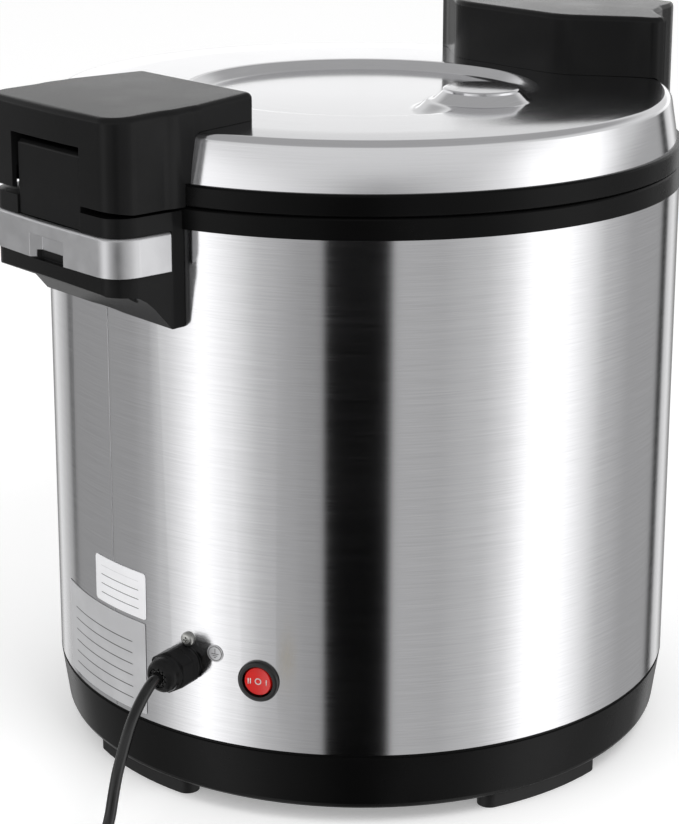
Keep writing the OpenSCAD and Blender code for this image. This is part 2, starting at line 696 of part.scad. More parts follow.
module switch_tabs() color("#c9a24a") on_steel(switch_az, switch_z)
    for (x = [-5, 0, 5]) translate([x - 0.4, -2.4, -20]) cube([0.8, 4.8, 6]);

// Cable gland

module hex(af, h, r = 0) {
    intersection() {
        cylinder(r = af / 2 / cos(30), h = h, $fn = 6);
        cylinder(r = af / 2 / cos(30) - r, h = h);
    }
}

module gland_washer() color(dark) on_steel(gland_az, gland_z) difference() {
    translate([0, 0, 0.1]) cylinder(r = gland_af / 2, h = 1.3);
    translate([0, 0, -1]) cylinder(r = 8.1, h = 4);
}

module gland_body() color(black) on_steel(gland_az, gland_z) difference() {
    union() {
        translate([0, 0, -9]) cylinder(r = 8, h = 12);
        translate([0, 0, 1.4]) hex(gland_af, 5.2, 0.5);
        translate([0, 0, 6]) cylinder(r = 8.5, h = 7);
    }
    translate([0, 0, -10]) cylinder(r = cord_d / 2 + 1.2, h = 40);
}

module gland_locknut() color(black) on_steel(gland_az, gland_z) difference() {
    translate([0, 0, -7.3]) hex(20, 5, 0.9);
    translate([0, 0, -8]) cylinder(r = 8.05, h = 7);
}

nut_z = 15.5;
module gland_nut() color(black) on_steel(gland_az, gland_z) difference() {
    union() {
        translate([0, 0, 6.8]) hex(gland_af, nut_z - 6.8, 0.5);
        translate([0, 0, nut_z]) rotate_extrude() polygon(concat([[0, 0], [gland_af / 2 - 0.3, 0]],
            [[gland_af / 2 - 0.3, 1.2], [gland_af / 2 - 1, 2]],
            arc(gland_af / 2 - 6.6, gland_len - nut_z - 5.5, 5.5, 10, 90, 5), [[0, gland_len - nut_z]]));
    }
    translate([0, 0, 6]) cylinder(r = 8.6, h = 7.3);
    translate([0, 0, 12]) cylinder(r = cord_d / 2 + 2.6, h = 40);
}

// Rubber insert whose split claws close on the lead
module gland_seal() color(dark) on_steel(gland_az, gland_z) difference() {
    translate([0, 0, 13.4]) cylinder(r = cord_d / 2 + 2.5, h = gland_len - 14.4);
    translate([0, 0, gland_len - 5]) for (a = [0:36:324]) rotate([0, 0, a])
        translate([cord_d / 2 + 1.1, -0.4, 0]) cube([3, 0.8, 12]);
    translate([0, 0, gland_len - 2]) cylinder(r = cord_d / 2 + 0.9, h = 3);
}

module earth_screw() color(steel) on_steel(gland_az + 1, gland_z + 15.4) difference() {
    union() {
        rotate_extrude() polygon(concat([[0, 0.05], [4.2, 0.05], [4.2, 0.8]], arc(2.2, 0.8, 2, 0, 90, 4), [[0, 2.8]]));
        translate([0, 0, -8]) cylinder(r = 2, h = 9);
    }
    for (a = [0, 90]) rotate([0, 0, a]) translate([-2, -0.4, 1.8]) cube([4, 0.8, 2]);
}

module earth_disc() color(bright) on_steel(gland_az + 6.3, gland_z + 10.2) translate([0, 0, 0.02]) cylinder(d = 10, h = 0.3);

// Lead

// Round tube swept along points, with its end rings square to its ends
function along(p, i) = unit(p[min(i + 1, len(p) - 1)] - p[max(i - 1, 0)]);
function side_of(t) = unit(cross(t, abs(t[2]) > 0.9 ? [1, 0, 0] : [0, 0, 1]));
function turned(u, t) = unit(u - (u * t) * t);
function sides(p, i) = i == 0 ? [side_of(along(p, 0))] :
    let (s = sides(p, i - 1)) concat(s, [turned(s[i - 1], along(p, i))]);
function tube_rings(p, r, n, s) = [for (i = [0:len(p) - 1]) let (t = along(p, i), u = s[i], v = cross(t, u))
    [for (k = [0:n - 1]) let (a = 360 * k / n) p[i] + r * (u * cos(a) + v * sin(a))]];

module tube(p, r, n) {
    skin(tube_rings(p, r, n, sides(p, len(p) - 1)));
}

// The lead is laid out in the vertical plane that leaves the gland, x counted from the steel
module at_lead() {
    rotate([0, 0, gland_az]) translate([R, 0, 0]) children();
}

// Free stretch: distance past the gland's mouth, and height when the gland is at 88.3
drop = [[-2, 88.3], [2, 88.2], [6, 87], [11, 84], [16, 80], [20.5, 75.5], [25, 70], [29, 63.5], [33, 56],
    [37, 48], [40, 40], [42.5, 32], [45, 24], [48.5, 17], [54, 11], [61, 7], [69, 4.7]];
lead_z = cord_d / 2 + 0.75;
route = [for (q = drop) [gland_len + q[0], 0, lead_z + (q[1] - 4) * (gland_z - lead_z) / 84.3]];

// Coil: an inward layer on the floor, an outward layer on it, and a tail that lies over both
coil_r = 46;
coil_at = [gland_len + 85, coil_r];
coil_start = -90;
coil_turns = 2.613;
coil_pitch = cord_d + 0.75;
climb = 180;
tail_up = 80;
tail_in = 72;
coil_low = coil_turns * 360;
coil_high = coil_low + climb + coil_turns * 360;
coil_end = coil_high + tail_up + tail_in;
coil_step = 15;
plug_h = 22;
plug_z = lead_z + coil_pitch + cord_d / 2 + near + plug_h / 2;
function ease(f) = let (g = max(0, min(1, f))) g * g * (3 - 2 * g);
function coil_radius(a) = a <= coil_low + climb / 2 ? coil_r - coil_pitch * a / 360 :
    a <= coil_high ? coil_r - coil_pitch * (coil_high - a) / 360 :
    coil_r - 13 * pow(max(0, (a - coil_high - tail_up * 0.7) / (tail_in + tail_up * 0.3)), 2);
function coil_height(a) = lead_z + coil_pitch * ease((a - coil_low) / climb)
    + (coil_pitch + 0.4) * ease((a - coil_high) / tail_up)
    + (plug_z - lead_z - 2 * coil_pitch - 0.4) * ease((a - coil_high - tail_up) / tail_in);
function coil_point(a) = let (r = coil_radius(a), w = coil_start + a)
    [coil_at[0] + r * cos(w), coil_at[1] + r * sin(w), coil_height(a)];
coil_n = round(coil_end / coil_step);
coil_path = [for (k = [0:coil_n]) coil_point(coil_end * k / coil_n)];
tail_dir = unit([coil_path[coil_n][0] - coil_path[coil_n - 1][0],
    coil_path[coil_n][1] - coil_path[coil_n - 1][1], 0]);
coil_last = coil_path[coil_n] + cord_d * tail_dir;
coil_points = concat([coil_path[0] - [cord_d, 0, 0]], coil_path, [coil_last]);
function path_length(p) = let (steps = [for (i = [1:len(p) - 1]) norm(p[i] - p[i - 1])])
    steps * [for (s = steps) 1];
coil_gap = min([for (i = [0:len(coil_points) - 1], j = [0:len(coil_points) - 1])
    if (j > i + 6) norm(coil_points[i] - coil_points[j])]) - cord_d;
echo(coil_gap = coil_gap, coil_length = path_length(coil_points),
    free_length = path_length(concat(route, [coil_points[0]])));

module power_cord() color(dark) at_lead() tube(concat(route, [coil_points[0]]), cord_d / 2, 10);
module cord_coil() color(dark) at_lead() tube(coil_points, cord_d / 2, 6);

// Strap round the bundle of loops
tie_turn = 196.5;
tie_radii = [for (k = [0:floor((coil_high - tie_turn) / 360)]) coil_radius(tie_turn + 360 * k)];
module cord_tie() color("#3a3a3c") at_lead() {
    r0 = min(tie_radii) - cord_d / 2 - 1.2;
    r1 = max(tie_radii) + cord_d / 2 + 0.4;
    z1 = lead_z + coil_pitch + cord_d / 2 + 0.4;
    translate([coil_at[0], coil_at[1], 0]) rotate([0, 0, coil_start + tie_turn]) rotate([90, 0, 0])
        translate([0, 0, -5]) linear_extrude(10) difference() {
            translate([r0 - 0.6, 0.05]) square([r1 - r0 + 1.2, z1 + 0.55]);
            translate([r0, 0.65]) square([r1 - r0, z1 - 0.65]);
        }
}

// Plug, lying on the coil with its blades pointing away from the lead
module at_plug() {
    at_lead() translate(coil_last) rotate([0, 0, atan2(tail_dir[1], tail_dir[0])]) rotate([0, 90, 0]) children();
}

module plug_body() color(dark) at_plug() {
    rotate_extrude() polygon([[0, 0], [cord_d / 2 + 0.9, 0], [cord_d / 2 + 1.6, 6], [cord_d / 2 + 2.4, 14],
        [cord_d / 2 + 4.75, 22], [0, 22]]);
    translate([0, 0, 18]) linear_extrude(26) intersection() {
        square([plug_h, 26], center = true);
        circle(r = 14.5);
    }
}

module plug_pins() color("#c9a24a") at_plug() {
    for (s = [-1, 1]) translate([-3.2, s * 6.35 - 0.75, 44]) cube([6.3, 1.5, 17]);
}

base_tray();
feet();
foot_screws();
outer_shell();
body_ring();
inner_liner();
inner_pot();
heater_plate();
side_heater();
insulation_blanket();
thermostat();
thermal_fuse();
terminal_block();
inner_wires();
rear_bracket();
front_bracket();
rear_trim_band();
front_trim_band();
hinge_post();
hinge_pin();
bracket_screws();
latch_pin();
latch_spring();
latch_lever();
switch_housing();
switch_tabs();
rocker();
gland_body();
gland_washer();
gland_locknut();
gland_nut();
gland_seal();
earth_screw();
earth_disc();
power_cord();
cord_coil();
cord_tie();
plug_body();
plug_pins();
lid_shell();
lid_ring();
lid_insulation();
inner_plate();
lid_gasket();
vent_grommet();
hinge_cover();
front_cover();
latch_keeper();
keeper_screws();
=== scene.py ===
"""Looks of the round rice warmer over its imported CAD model. Metres, z up, feet on z = 0."""

import json
from math import atan2, cos, pi, radians, sin, sqrt, tau

import bmesh
import bpy
from mathutils import Matrix, Vector

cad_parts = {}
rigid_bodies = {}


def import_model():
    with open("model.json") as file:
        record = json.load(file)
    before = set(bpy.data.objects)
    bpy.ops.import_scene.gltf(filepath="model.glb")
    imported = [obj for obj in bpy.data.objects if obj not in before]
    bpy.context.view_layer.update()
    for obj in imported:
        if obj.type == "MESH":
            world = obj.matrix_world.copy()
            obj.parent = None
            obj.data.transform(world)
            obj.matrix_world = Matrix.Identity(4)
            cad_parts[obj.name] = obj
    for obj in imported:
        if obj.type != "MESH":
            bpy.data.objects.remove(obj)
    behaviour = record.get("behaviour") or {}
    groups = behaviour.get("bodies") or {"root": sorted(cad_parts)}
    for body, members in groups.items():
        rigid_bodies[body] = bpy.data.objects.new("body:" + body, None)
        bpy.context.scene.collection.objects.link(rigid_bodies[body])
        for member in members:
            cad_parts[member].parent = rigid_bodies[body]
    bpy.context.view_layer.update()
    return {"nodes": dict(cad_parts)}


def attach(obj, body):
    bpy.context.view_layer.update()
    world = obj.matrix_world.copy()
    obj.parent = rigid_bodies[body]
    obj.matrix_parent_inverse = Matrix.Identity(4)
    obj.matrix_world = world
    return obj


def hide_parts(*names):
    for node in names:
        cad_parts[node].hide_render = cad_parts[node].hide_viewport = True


for leftover in list(bpy.data.objects):
    bpy.data.objects.remove(leftover)

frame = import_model()
NODES = frame["nodes"]

MM = 0.001
BODY_R = 0.190

# Places on the steel, in degrees about the upright axis and in millimetres
GLAND_SIDE, GLAND_Z, GLAND_LEN = 106.9, 88.3, 25.0
GLAND_TURN = radians(GLAND_SIDE)
EARTH_SIDE, EARTH_Z = GLAND_SIDE + 6.3, GLAND_Z + 10.2
SWITCH_SIDE, SWITCH_Z = 121.2, 86.5
CORD_D = 6.5


# Camera, fitted to the photograph. Its side is where it stands, in degrees about the upright axis

CAMERA_AT = (-0.9862, 0.8704, 0.6040)
CAMERA_SIDE, CAMERA_TILT, CAMERA_ROLL = 138.57, 75.263, 0.29
CAMERA_LENS = 96.51
CAMERA_SHIFT = (-0.0281, -0.1359)


def set_camera():
    data = bpy.data.cameras.new("camera")
    data.sensor_width = 36
    data.lens = CAMERA_LENS
    data.shift_x, data.shift_y = CAMERA_SHIFT
    data.clip_end = 40
    camera = bpy.data.objects.new("camera", data)
    bpy.context.scene.collection.objects.link(camera)
    camera.matrix_world = (
        Matrix.Translation(CAMERA_AT)
        @ Matrix.Rotation(radians(CAMERA_SIDE + 90), 4, "Z")
        @ Matrix.Rotation(radians(CAMERA_TILT), 4, "X")
        @ Matrix.Rotation(radians(CAMERA_ROLL), 4, "Z")
    )
    bpy.context.scene.camera = camera


set_camera()


# Node and material helpers


def node(tree, kind, at=(0, 0), **settings):
    made = tree.nodes.new(kind)
    made.location = at
    for key, value in settings.items():
        setattr(made, key, value)
    return made


def connect(tree, socket, value):
    """Links an input to another socket, or sets anything else as its own value."""
    if isinstance(value, bpy.types.NodeSocket):
        tree.links.new(value, socket)
    else:
        socket.default_value = value


def feed(tree, target, **values):
    """Links or sets a node's inputs by name."""
    for key, value in values.items():
        connect(tree, target.inputs[key.replace("_", " ")], value)
    return target


def maths(tree, operation, a, b=0.0, clamp=False):
    made = node(tree, "ShaderNodeMath", operation=operation, use_clamp=clamp)
    connect(tree, made.inputs[0], a)
    connect(tree, made.inputs[1], b)
    return made.outputs[0]


def spread(tree, value, low, high, to_low=0.0, to_high=1.0, smooth=True, at=(0, 0)):
    """Maps a value from one range to another and holds it there."""
    kind = "SMOOTHSTEP" if smooth else "LINEAR"
    made = node(tree, "ShaderNodeMapRange", at, interpolation_type=kind)
    feed(tree, made, Value=value, From_Min=low, From_Max=high, To_Min=to_low, To_Max=to_high)
    return made.outputs["Result"]


def mixed(tree, share, start, end):
    """Mixes two colours or colour sockets, which are inputs 6 and 7 of a mix node."""
    made = node(tree, "ShaderNodeMix", (-300, 200), data_type="RGBA")
    connect(tree, made.inputs["Factor"], share)
    connect(tree, made.inputs[6], start)
    connect(tree, made.inputs[7], end)
    return made.outputs[2]


def by_ray(tree, kind, others, own, at):
    """One shader for the rays of a kind and another for all other rays."""
    path = node(tree, "ShaderNodeLightPath", at)
    made = node(tree, "ShaderNodeMixShader", at)
    for socket, value in zip(made.inputs, (path.outputs[kind], others, own)):
        connect(tree, socket, value)
    return made.outputs[0]


def effect(name, inputs, outputs):
    """A shader node group with named number inputs and the named outputs."""
    tree = bpy.data.node_groups.new(name, "ShaderNodeTree")
    for label, value in inputs.items():
        socket = tree.interface.new_socket(label, in_out="INPUT", socket_type="NodeSocketFloat")
        socket.default_value = value
    for label, kind in outputs.items():
        tree.interface.new_socket(label, in_out="OUTPUT", socket_type=kind)
    given = node(tree, "NodeGroupInput", (-1000, 0))
    return tree, given, node(tree, "NodeGroupOutput", (800, 0))


def build_brushing():
    """Fine lines round the upright axis, as a turned or rolled sheet has."""
    tree, given, result = effect(
        "turned brushing",
        {"Lines": 1200.0, "Stretch": 45.0, "Depth": 0.15},
        {"Streaks": "NodeSocketFloat", "Normal": "NodeSocketVector"},
    )
    place = node(tree, "ShaderNodeTexCoord", (-1000, 300))
    parts = node(tree, "ShaderNodeSeparateXYZ", (-820, 300))
    tree.links.new(place.outputs["Object"], parts.inputs[0])
    x, y, z = parts.outputs
    squares = [maths(tree, "MULTIPLY", length, length) for length in (x, y)]
    across = maths(tree, "SQRT", maths(tree, "ADD", *squares))
    along = maths(tree, "SUBTRACT", across, z)
    lines = node(tree, "ShaderNodeCombineXYZ", (-300, 300))
    feed(
        tree,
        lines,
        X=maths(tree, "MULTIPLY", x, given.outputs["Stretch"]),
        Y=maths(tree, "MULTIPLY", y, given.outputs["Stretch"]),
        Z=maths(tree, "MULTIPLY", along, given.outputs["Lines"]),
    )
    noise = node(tree, "ShaderNodeTexNoise", (-100, 300))
    feed(tree, noise, Vector=lines.outputs[0], Scale=1.0, Detail=3.0, Roughness=0.65)
    streaks = spread(tree, noise.outputs[0], 0.3, 0.7, smooth=False, at=(150, 300))
    bump = node(tree, "ShaderNodeBump", (400, 100))
    feed(tree, bump, Strength=given.outputs["Depth"], Distance=0.0002, Height=streaks)
    tree.links.new(streaks, result.inputs["Streaks"])
    tree.links.new(bump.outputs[0], result.inputs["Normal"])
    return tree


def build_grain():
    """Fine grain of a moulded plastic, with its edges a little rounded in the shading."""
    tree, given, result = effect(
        "moulded grain",
        {"Scale": 1600.0, "Depth": 0.12, "Edge": 0.0006},
        {"Grain": "NodeSocketFloat", "Edges": "NodeSocketFloat", "Normal": "NodeSocketVector"},
    )
    place = node(tree, "ShaderNodeTexCoord", (-900, 200))
    noise = node(tree, "ShaderNodeTexNoise", (-600, 200))
    feed(tree, noise, Vector=place.outputs["Object"], Scale=given.outputs["Scale"])
    feed(tree, noise, Detail=2.0, Roughness=0.5)
    soft = node(tree, "ShaderNodeBevel", (-600, -200), samples=4)
    feed(tree, soft, Radius=given.outputs["Edge"])
    shape = node(tree, "ShaderNodeNewGeometry", (-600, -400))
    meet = node(tree, "ShaderNodeVectorMath", (-400, -300), operation="DOT_PRODUCT")
    tree.links.new(soft.outputs[0], meet.inputs[0])
    tree.links.new(shape.outputs["Normal"], meet.inputs[1])
    bump = node(tree, "ShaderNodeBump", (0, 0))
    feed(
        tree,
        bump,
        Strength=given.outputs["Depth"],
        Distance=0.0002,
        Height=noise.outputs[0],
        Normal=soft.outputs[0],
    )
    tree.links.new(noise.outputs[0], result.inputs["Grain"])
    tree.links.new(spread(tree, meet.outputs["Value"], 0.995, 0.9), result.inputs["Edges"])
    tree.links.new(bump.outputs[0], result.inputs["Normal"])
    return tree


def build_handling():
    """Large soft patches where a surface has been wiped and handled."""
    tree, given, result = effect(
        "handling marks", {"Scale": 9.0, "Low": 0.4, "High": 0.7}, {"Marks": "NodeSocketFloat"}
    )
    place = node(tree, "ShaderNodeTexCoord", (-900, 0))
    noise = node(tree, "ShaderNodeTexNoise", (-600, 0))
    feed(tree, noise, Vector=place.outputs["Object"], Scale=given.outputs["Scale"])
    feed(tree, noise, Detail=5.0, Roughness=0.6)
    marks = spread(tree, noise.outputs[0], given.outputs["Low"], given.outputs["High"])
    tree.links.new(marks, result.inputs["Marks"])
    return tree


BRUSHING = build_brushing()
GRAIN = build_grain()
HANDLING = build_handling()


def place_effect(tree, group, at, **values):
    made = node(tree, "ShaderNodeGroup", at, node_tree=group)
    return feed(tree, made, **values)


def blank(name, **plain):
    """Makes a material with plain values and returns it, its tree and its shader."""
    material = bpy.data.materials.new(name)
    material.use_nodes = True
    tree = material.node_tree
    shader = tree.nodes["Principled BSDF"]
    feed(tree, shader, **plain)
    return material, tree, shader


def shades(tree, value, dark, light):
    """A colour that goes from dark to light with the value."""
    return mixed(tree, value, (*dark, 1), (*light, 1))


# A quarter turn draws the reflections out across the lines of the brushing
ACROSS_LINES = 0.25


def steel(name, dark, light, rough, lengthen, lines=1600.0, stretch=26.0, depth=0.05):
    """Brushed sheet, with its reflections drawn out by the share lengthen."""
    material, tree, shader = blank(
        name, Metallic=1.0, Anisotropic=lengthen, Anisotropic_Rotation=ACROSS_LINES
    )
    brush = place_effect(tree, BRUSHING, (-900, 0), Lines=lines, Stretch=stretch, Depth=depth)
    marks = place_effect(tree, HANDLING, (-900, -300), Scale=7.0, Low=0.42, High=0.75)
    streaks = brush.outputs["Streaks"]
    worn = maths(tree, "MULTIPLY", marks.outputs["Marks"], 0.025)
    lined = spread(tree, streaks, 0, 1, rough - 0.02, rough + 0.02, smooth=False)
    feed(
        tree,
        shader,
        Base_Color=shades(tree, streaks, dark, light),
        Roughness=maths(tree, "ADD", lined, worn),
        Normal=brush.outputs["Normal"],
    )
    return material


def plastic(name, dark, light, rough, scale=1600.0, depth=0.12, edge=0.0006, shine=0.5):
    """Moulded or printed pieces, a little smoother where they are handled and on their edges."""
    material, tree, shader = blank(name, Specular_IOR_Level=shine)
    grain = place_effect(tree, GRAIN, (-900, 0), Scale=scale, Depth=depth, Edge=edge)
    marks = place_effect(tree, HANDLING, (-900, -300), Scale=11.0, Low=0.35, High=0.75)
    lift = maths(tree, "ADD", marks.outputs["Marks"], grain.outputs["Edges"], clamp=True)
    feed(
        tree,
        shader,
        Base_Color=shades(tree, lift, dark, light),
        Roughness=maths(tree, "SUBTRACT", rough + 0.03, maths(tree, "MULTIPLY", lift, 0.06)),
        Normal=grain.outputs["Normal"],
    )
    return material


def metal(name, dark, light, rough, scale=300.0, depth=0.1, edge=0.0003):
    """Small plated or drawn metal pieces."""
    material, tree, shader = blank(name, Metallic=1.0)
    grain = place_effect(tree, GRAIN, (-900, 0), Scale=scale, Depth=depth, Edge=edge)
    marks = place_effect(tree, HANDLING, (-900, -300), Scale=60.0, Low=0.3, High=0.7)
    feed(
        tree,
        shader,
        Base_Color=shades(tree, marks.outputs["Marks"], dark, light),
        Roughness=spread(tree, marks.outputs["Marks"], 0, 1, rough - 0.02, rough + 0.05),
        Normal=grain.outputs["Normal"],
    )
    return material


def soft_mat(name, dark, light, rough, scale, depth):
    """Fibrous or rubbery pieces with no shine."""
    material, tree, shader = blank(name)
    place = node(tree, "ShaderNodeTexCoord", (-1000, 0))
    fibre = node(tree, "ShaderNodeTexNoise", (-800, 0))
    feed(tree, fibre, Vector=place.outputs["Object"], Scale=scale, Detail=8.0, Roughness=0.75)
    bump = node(tree, "ShaderNodeBump", (-400, -200))
    feed(tree, bump, Strength=depth, Distance=0.001, Height=fibre.outputs[0])
    feed(
        tree,
        shader,
        Base_Color=shades(tree, spread(tree, fibre.outputs[0], 0.3, 0.7), dark, light),
        Roughness=spread(tree, fibre.outputs[0], 0.3, 0.7, rough - 0.06, rough + 0.06),
        Normal=bump.outputs[0],
    )
    return material


def grey(value):
    return (value, value, value * 1.02)


BLACK_PLASTIC = plastic("satin black plastic", grey(0.008), grey(0.012), 0.23, shine=0.1)
RING_PLASTIC = plastic("satin black ring", grey(0.002), grey(0.0035), 0.27, shine=0.1)
GLOSS_BLACK = plastic(
    "glossy black plastic", grey(0.006), grey(0.010), 0.16, scale=500.0, depth=0.05, edge=0.0004
)
SWITCH_RED = plastic(
    "red rocker", (0.62, 0.012, 0.010), (0.78, 0.02, 0.015), 0.16, scale=400.0, depth=0.04
)
# Dark grey of the earth sign on the small disc: painted shade for the sign's pressed lines.
MARK_GREY = plastic("grey painted sign shade", grey(0.07), grey(0.1), 0.45, scale=2000.0, depth=0.05)
MARK_WHITE = plastic(
    "white print", (0.75, 0.75, 0.74), (0.86, 0.86, 0.85), 0.4, scale=2000.0, depth=0.05
)
RUBBER = plastic("black rubber", grey(0.007), grey(0.013), 0.55, scale=900.0, depth=0.25, shine=0.3)
STEEL = steel("brushed steel", grey(0.63), grey(0.71), 0.135, 0.75)
LID_STEEL = steel(
    "polished lid steel", grey(0.74), grey(0.79), 0.115, 0.3, stretch=20.0, depth=0.012
)
TRIM = metal("bright trim", grey(0.58), grey(0.63), 0.4, scale=2400.0, depth=0.02, edge=0.0005)
ZINC = metal("plated steel", (0.42, 0.42, 0.41), (0.54, 0.54, 0.52), 0.3)
ALUMINIUM = steel(
    "plain aluminium", grey(0.6), grey(0.74), 0.34, 0.4, lines=700.0, stretch=30.0, depth=0.1
)
POT_COAT = plastic("grey pot coat", grey(0.075), grey(0.11), 0.38, scale=1200.0, depth=0.2)
BRASS = metal("brass", (0.6, 0.52, 0.36), (0.72, 0.64, 0.46), 0.26)
HEATER_MAT = soft_mat("heater mat", (0.36, 0.13, 0.05), (0.5, 0.22, 0.1), 0.7, 900.0, 0.4)
GLASS_WOOL = soft_mat("glass wool", (0.55, 0.5, 0.38), (0.78, 0.74, 0.62), 0.9, 260.0, 0.9)
CERAMIC = plastic(
    "white ceramic", (0.66, 0.64, 0.58), (0.76, 0.74, 0.69), 0.22, scale=700.0, depth=0.05
)
WIRE = plastic("brown wire", (0.12, 0.035, 0.02), (0.17, 0.05, 0.03), 0.35, scale=900.0, depth=0.08)
SILICONE = plastic(
    "white silicone", (0.58, 0.58, 0.55), (0.68, 0.68, 0.65), 0.5, scale=700.0, depth=0.1
)


# Modelling helpers


def clear_selection():
    if bpy.context.object and bpy.context.object.mode != "OBJECT":
        bpy.ops.object.mode_set(mode="OBJECT")
    bpy.ops.object.select_all(action="DESELECT")


def choose(piece):
    clear_selection()
    piece.select_set(True)
    bpy.context.view_layer.objects.active = piece


def begin(add, name, **size):
    """Adds a primitive with nothing else selected, and names it."""
    clear_selection()
    add(**size)
    piece = bpy.context.object
    piece.name = name
    piece.data.name = name
    return piece


def settle(piece, matrix=None):
    """Puts a piece's place into its mesh, so that its object sits at the origin."""
    choose(piece)
    if matrix is not None:
        piece.matrix_world = matrix @ piece.matrix_world
    bpy.ops.object.transform_apply(location=True, rotation=True, scale=True)
    return piece


def edit(piece, mode="FACE"):
    choose(piece)
    bpy.ops.object.mode_set(mode="EDIT")
    bpy.ops.mesh.select_mode(type=mode)
    bpy.ops.mesh.select_all(action="DESELECT")


def done(smooth=None):
    bpy.ops.object.mode_set(mode="OBJECT")
    if smooth is not None:
        bpy.ops.object.shade_smooth_by_angle(angle=radians(smooth))


def smoothed(piece, angle):
    choose(piece)
    bpy.ops.object.shade_smooth_by_angle(angle=radians(angle))


def pick(piece, test):
    """Selects the faces that the test of their centre and normal picks."""
    mesh = bmesh.from_edit_mesh(piece.data)
    for face in mesh.faces:
        face.select_set(bool(test(face.calc_center_median(), face.normal)))
    mesh.select_flush_mode()
    bmesh.update_edit_mesh(piece.data)


def finish_with(piece, kind, **settings):
    """Adds a modifier and applies it."""
    choose(piece)
    modifier = piece.modifiers.new(kind.lower(), kind)
    for key, value in settings.items():
        setattr(modifier, key, value)
    bpy.ops.object.modifier_apply(modifier=modifier.name)
    return piece


def paint(piece, material, body, stands_for=()):
    """Gives a piece its material, its body and the CAD solids that it is drawn for."""
    piece.data.materials.clear()
    piece.data.materials.append(material)
    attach(piece, body)
    if stands_for:
        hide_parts(*stands_for)
    return piece


def joined(pieces, name):
    choose(pieces[0])
    for piece in pieces:
        piece.select_set(True)
    bpy.ops.object.join()
    whole = bpy.context.object
    whole.name = name
    whole.data.name = name
    return whole


def turned(name, profile, steps, closed=False):
    """A turned piece: a circle extruded from ring to ring along its profile and capped.

    A closed profile ends where it begins and has no caps.
    """
    radius, height = profile[0]
    place = (0, 0, height)
    piece = begin(
        bpy.ops.mesh.primitive_circle_add, name, vertices=steps, radius=radius, location=place
    )
    settle(piece)
    edit(piece, "EDGE")
    bpy.ops.mesh.select_all(action="SELECT")
    for (r0, z0), (r1, z1) in zip(profile, profile[1:]):
        bpy.ops.mesh.extrude_region_move(TRANSFORM_OT_translate={"value": (0, 0, z1 - z0)})
        bpy.ops.transform.resize(value=(r1 / r0, r1 / r0, 1), center_override=(0, 0, z1))
    if not closed:
        bpy.ops.mesh.edge_face_add()
        mesh = bmesh.from_edit_mesh(piece.data)
        for line in mesh.edges:
            line.select_set(line.is_boundary)
        mesh.select_flush_mode()
        bmesh.update_edit_mesh(piece.data)
        bpy.ops.mesh.edge_face_add()
    bpy.ops.mesh.select_all(action="SELECT")
    bpy.ops.mesh.remove_doubles(threshold=1e-6)
    bpy.ops.mesh.normals_make_consistent(inside=False)
    done(32)
    return piece


def hoop(name, radius, wire, steps):
    """A flat ring of round wire, from its radius and the wire's radius."""
    return begin(
        bpy.ops.mesh.primitive_torus_add,
        name,
        major_radius=radius,
        minor_radius=wire,
        major_segments=steps,
        minor_segments=8,
    )


def block(name, size, centre, round_by, steps):
    """A block with its edges rounded."""
    piece = begin(bpy.ops.mesh.primitive_cube_add, name, size=1, location=centre)
    piece.scale = size
    settle(piece)
    edit(piece, "EDGE")
    bpy.ops.mesh.select_all(action="SELECT")
    bpy.ops.mesh.bevel(offset=round_by, segments=steps, profile=0.5)
    done(40)
    return piece


def on_steel(turn, height, lift=0.0):
    """Place on the steel body: local z points outwards, local x down and local y to the right."""
    return (
        Matrix.Rotation(radians(turn), 4, "Z")
        @ Matrix.Translation((BODY_R + lift, 0, height))
        @ Matrix.Rotation(pi / 2, 4, "Y")
    )


def finished_copy(source, name, material, body, slot, smooth=32, edge=0.0, place=None):
    """A copy of a CAD solid, drawn in its place with smooth curves.

    Its triangles are merged, its points moved by the place function and its edges eased.
    """
    piece = NODES[source].copy()
    piece.data = NODES[source].data.copy()
    for key in list(piece.keys()):
        del piece[key]
    piece.parent = None
    bpy.context.scene.collection.objects.link(piece)
    piece.name = name
    piece.data.name = name
    choose(piece)
    bpy.ops.mesh.customdata_custom_splitnormals_clear()
    edit(piece, "VERT")
    bpy.ops.mesh.select_all(action="SELECT")
    bpy.ops.mesh.remove_doubles(threshold=1e-6)
    bpy.ops.mesh.dissolve_limited(angle_limit=radians(0.6))
    done()
    if place:
        for point in piece.data.vertices:
            point.co = place(point.co)
    if edge:
        finish_with(
            piece,
            "BEVEL",
            width=edge,
            segments=2,
            limit_method="ANGLE",
            angle_limit=radians(34),
            use_clamp_overlap=False,
            miter_outer="MITER_ARC",
        )
    smoothed(piece, smooth)
    finish_with(piece, "WEIGHTED_NORMAL", keep_sharp=True, weight=100)
    return paint(piece, material, body, (source,))


# Lead


def lead_place(out, side, height):
    """The place of a point given in millimetres out from the steel at the gland, aside and up."""
    local = Vector((BODY_R + out * MM, side * MM, height * MM))
    return Matrix.Rotation(GLAND_TURN, 4, "Z") @ local


# The lead falls from the gland by the table of distance and height. It then winds inwards as a
# flat coil, climbs, winds outwards on top of that and ends over the coil, where the plug lies.
# Lengths are in millimetres and turns in degrees of the coil.
LEAD_Z = CORD_D / 2 + 0.75
DROP = [(-2, 88.3), (2, 88.2), (6, 87), (11, 84), (16, 80), (20.5, 75.5), (25, 70), (29, 63.5)]
DROP += [(33, 56), (37, 48), (40, 40), (42.5, 32), (45, 24), (48.5, 17), (54, 11), (61, 7)]
DROP += [(69, 4.7)]
DROP_FOOT, DROP_TALL = 4.0, 84.3
COIL_R = 46.0
COIL_AT = (GLAND_LEN + 85, COIL_R)
COIL_START = -90.0
COIL_TURNS = 2.613
COIL_PITCH = CORD_D + 0.75
CLIMB, TAIL_UP, TAIL_IN = 180.0, 80.0, 72.0
TAIL_LATE, TAIL_BEND, TAIL_GAP = 0.7, 13.0, 0.4
COIL_LOW = COIL_TURNS * 360
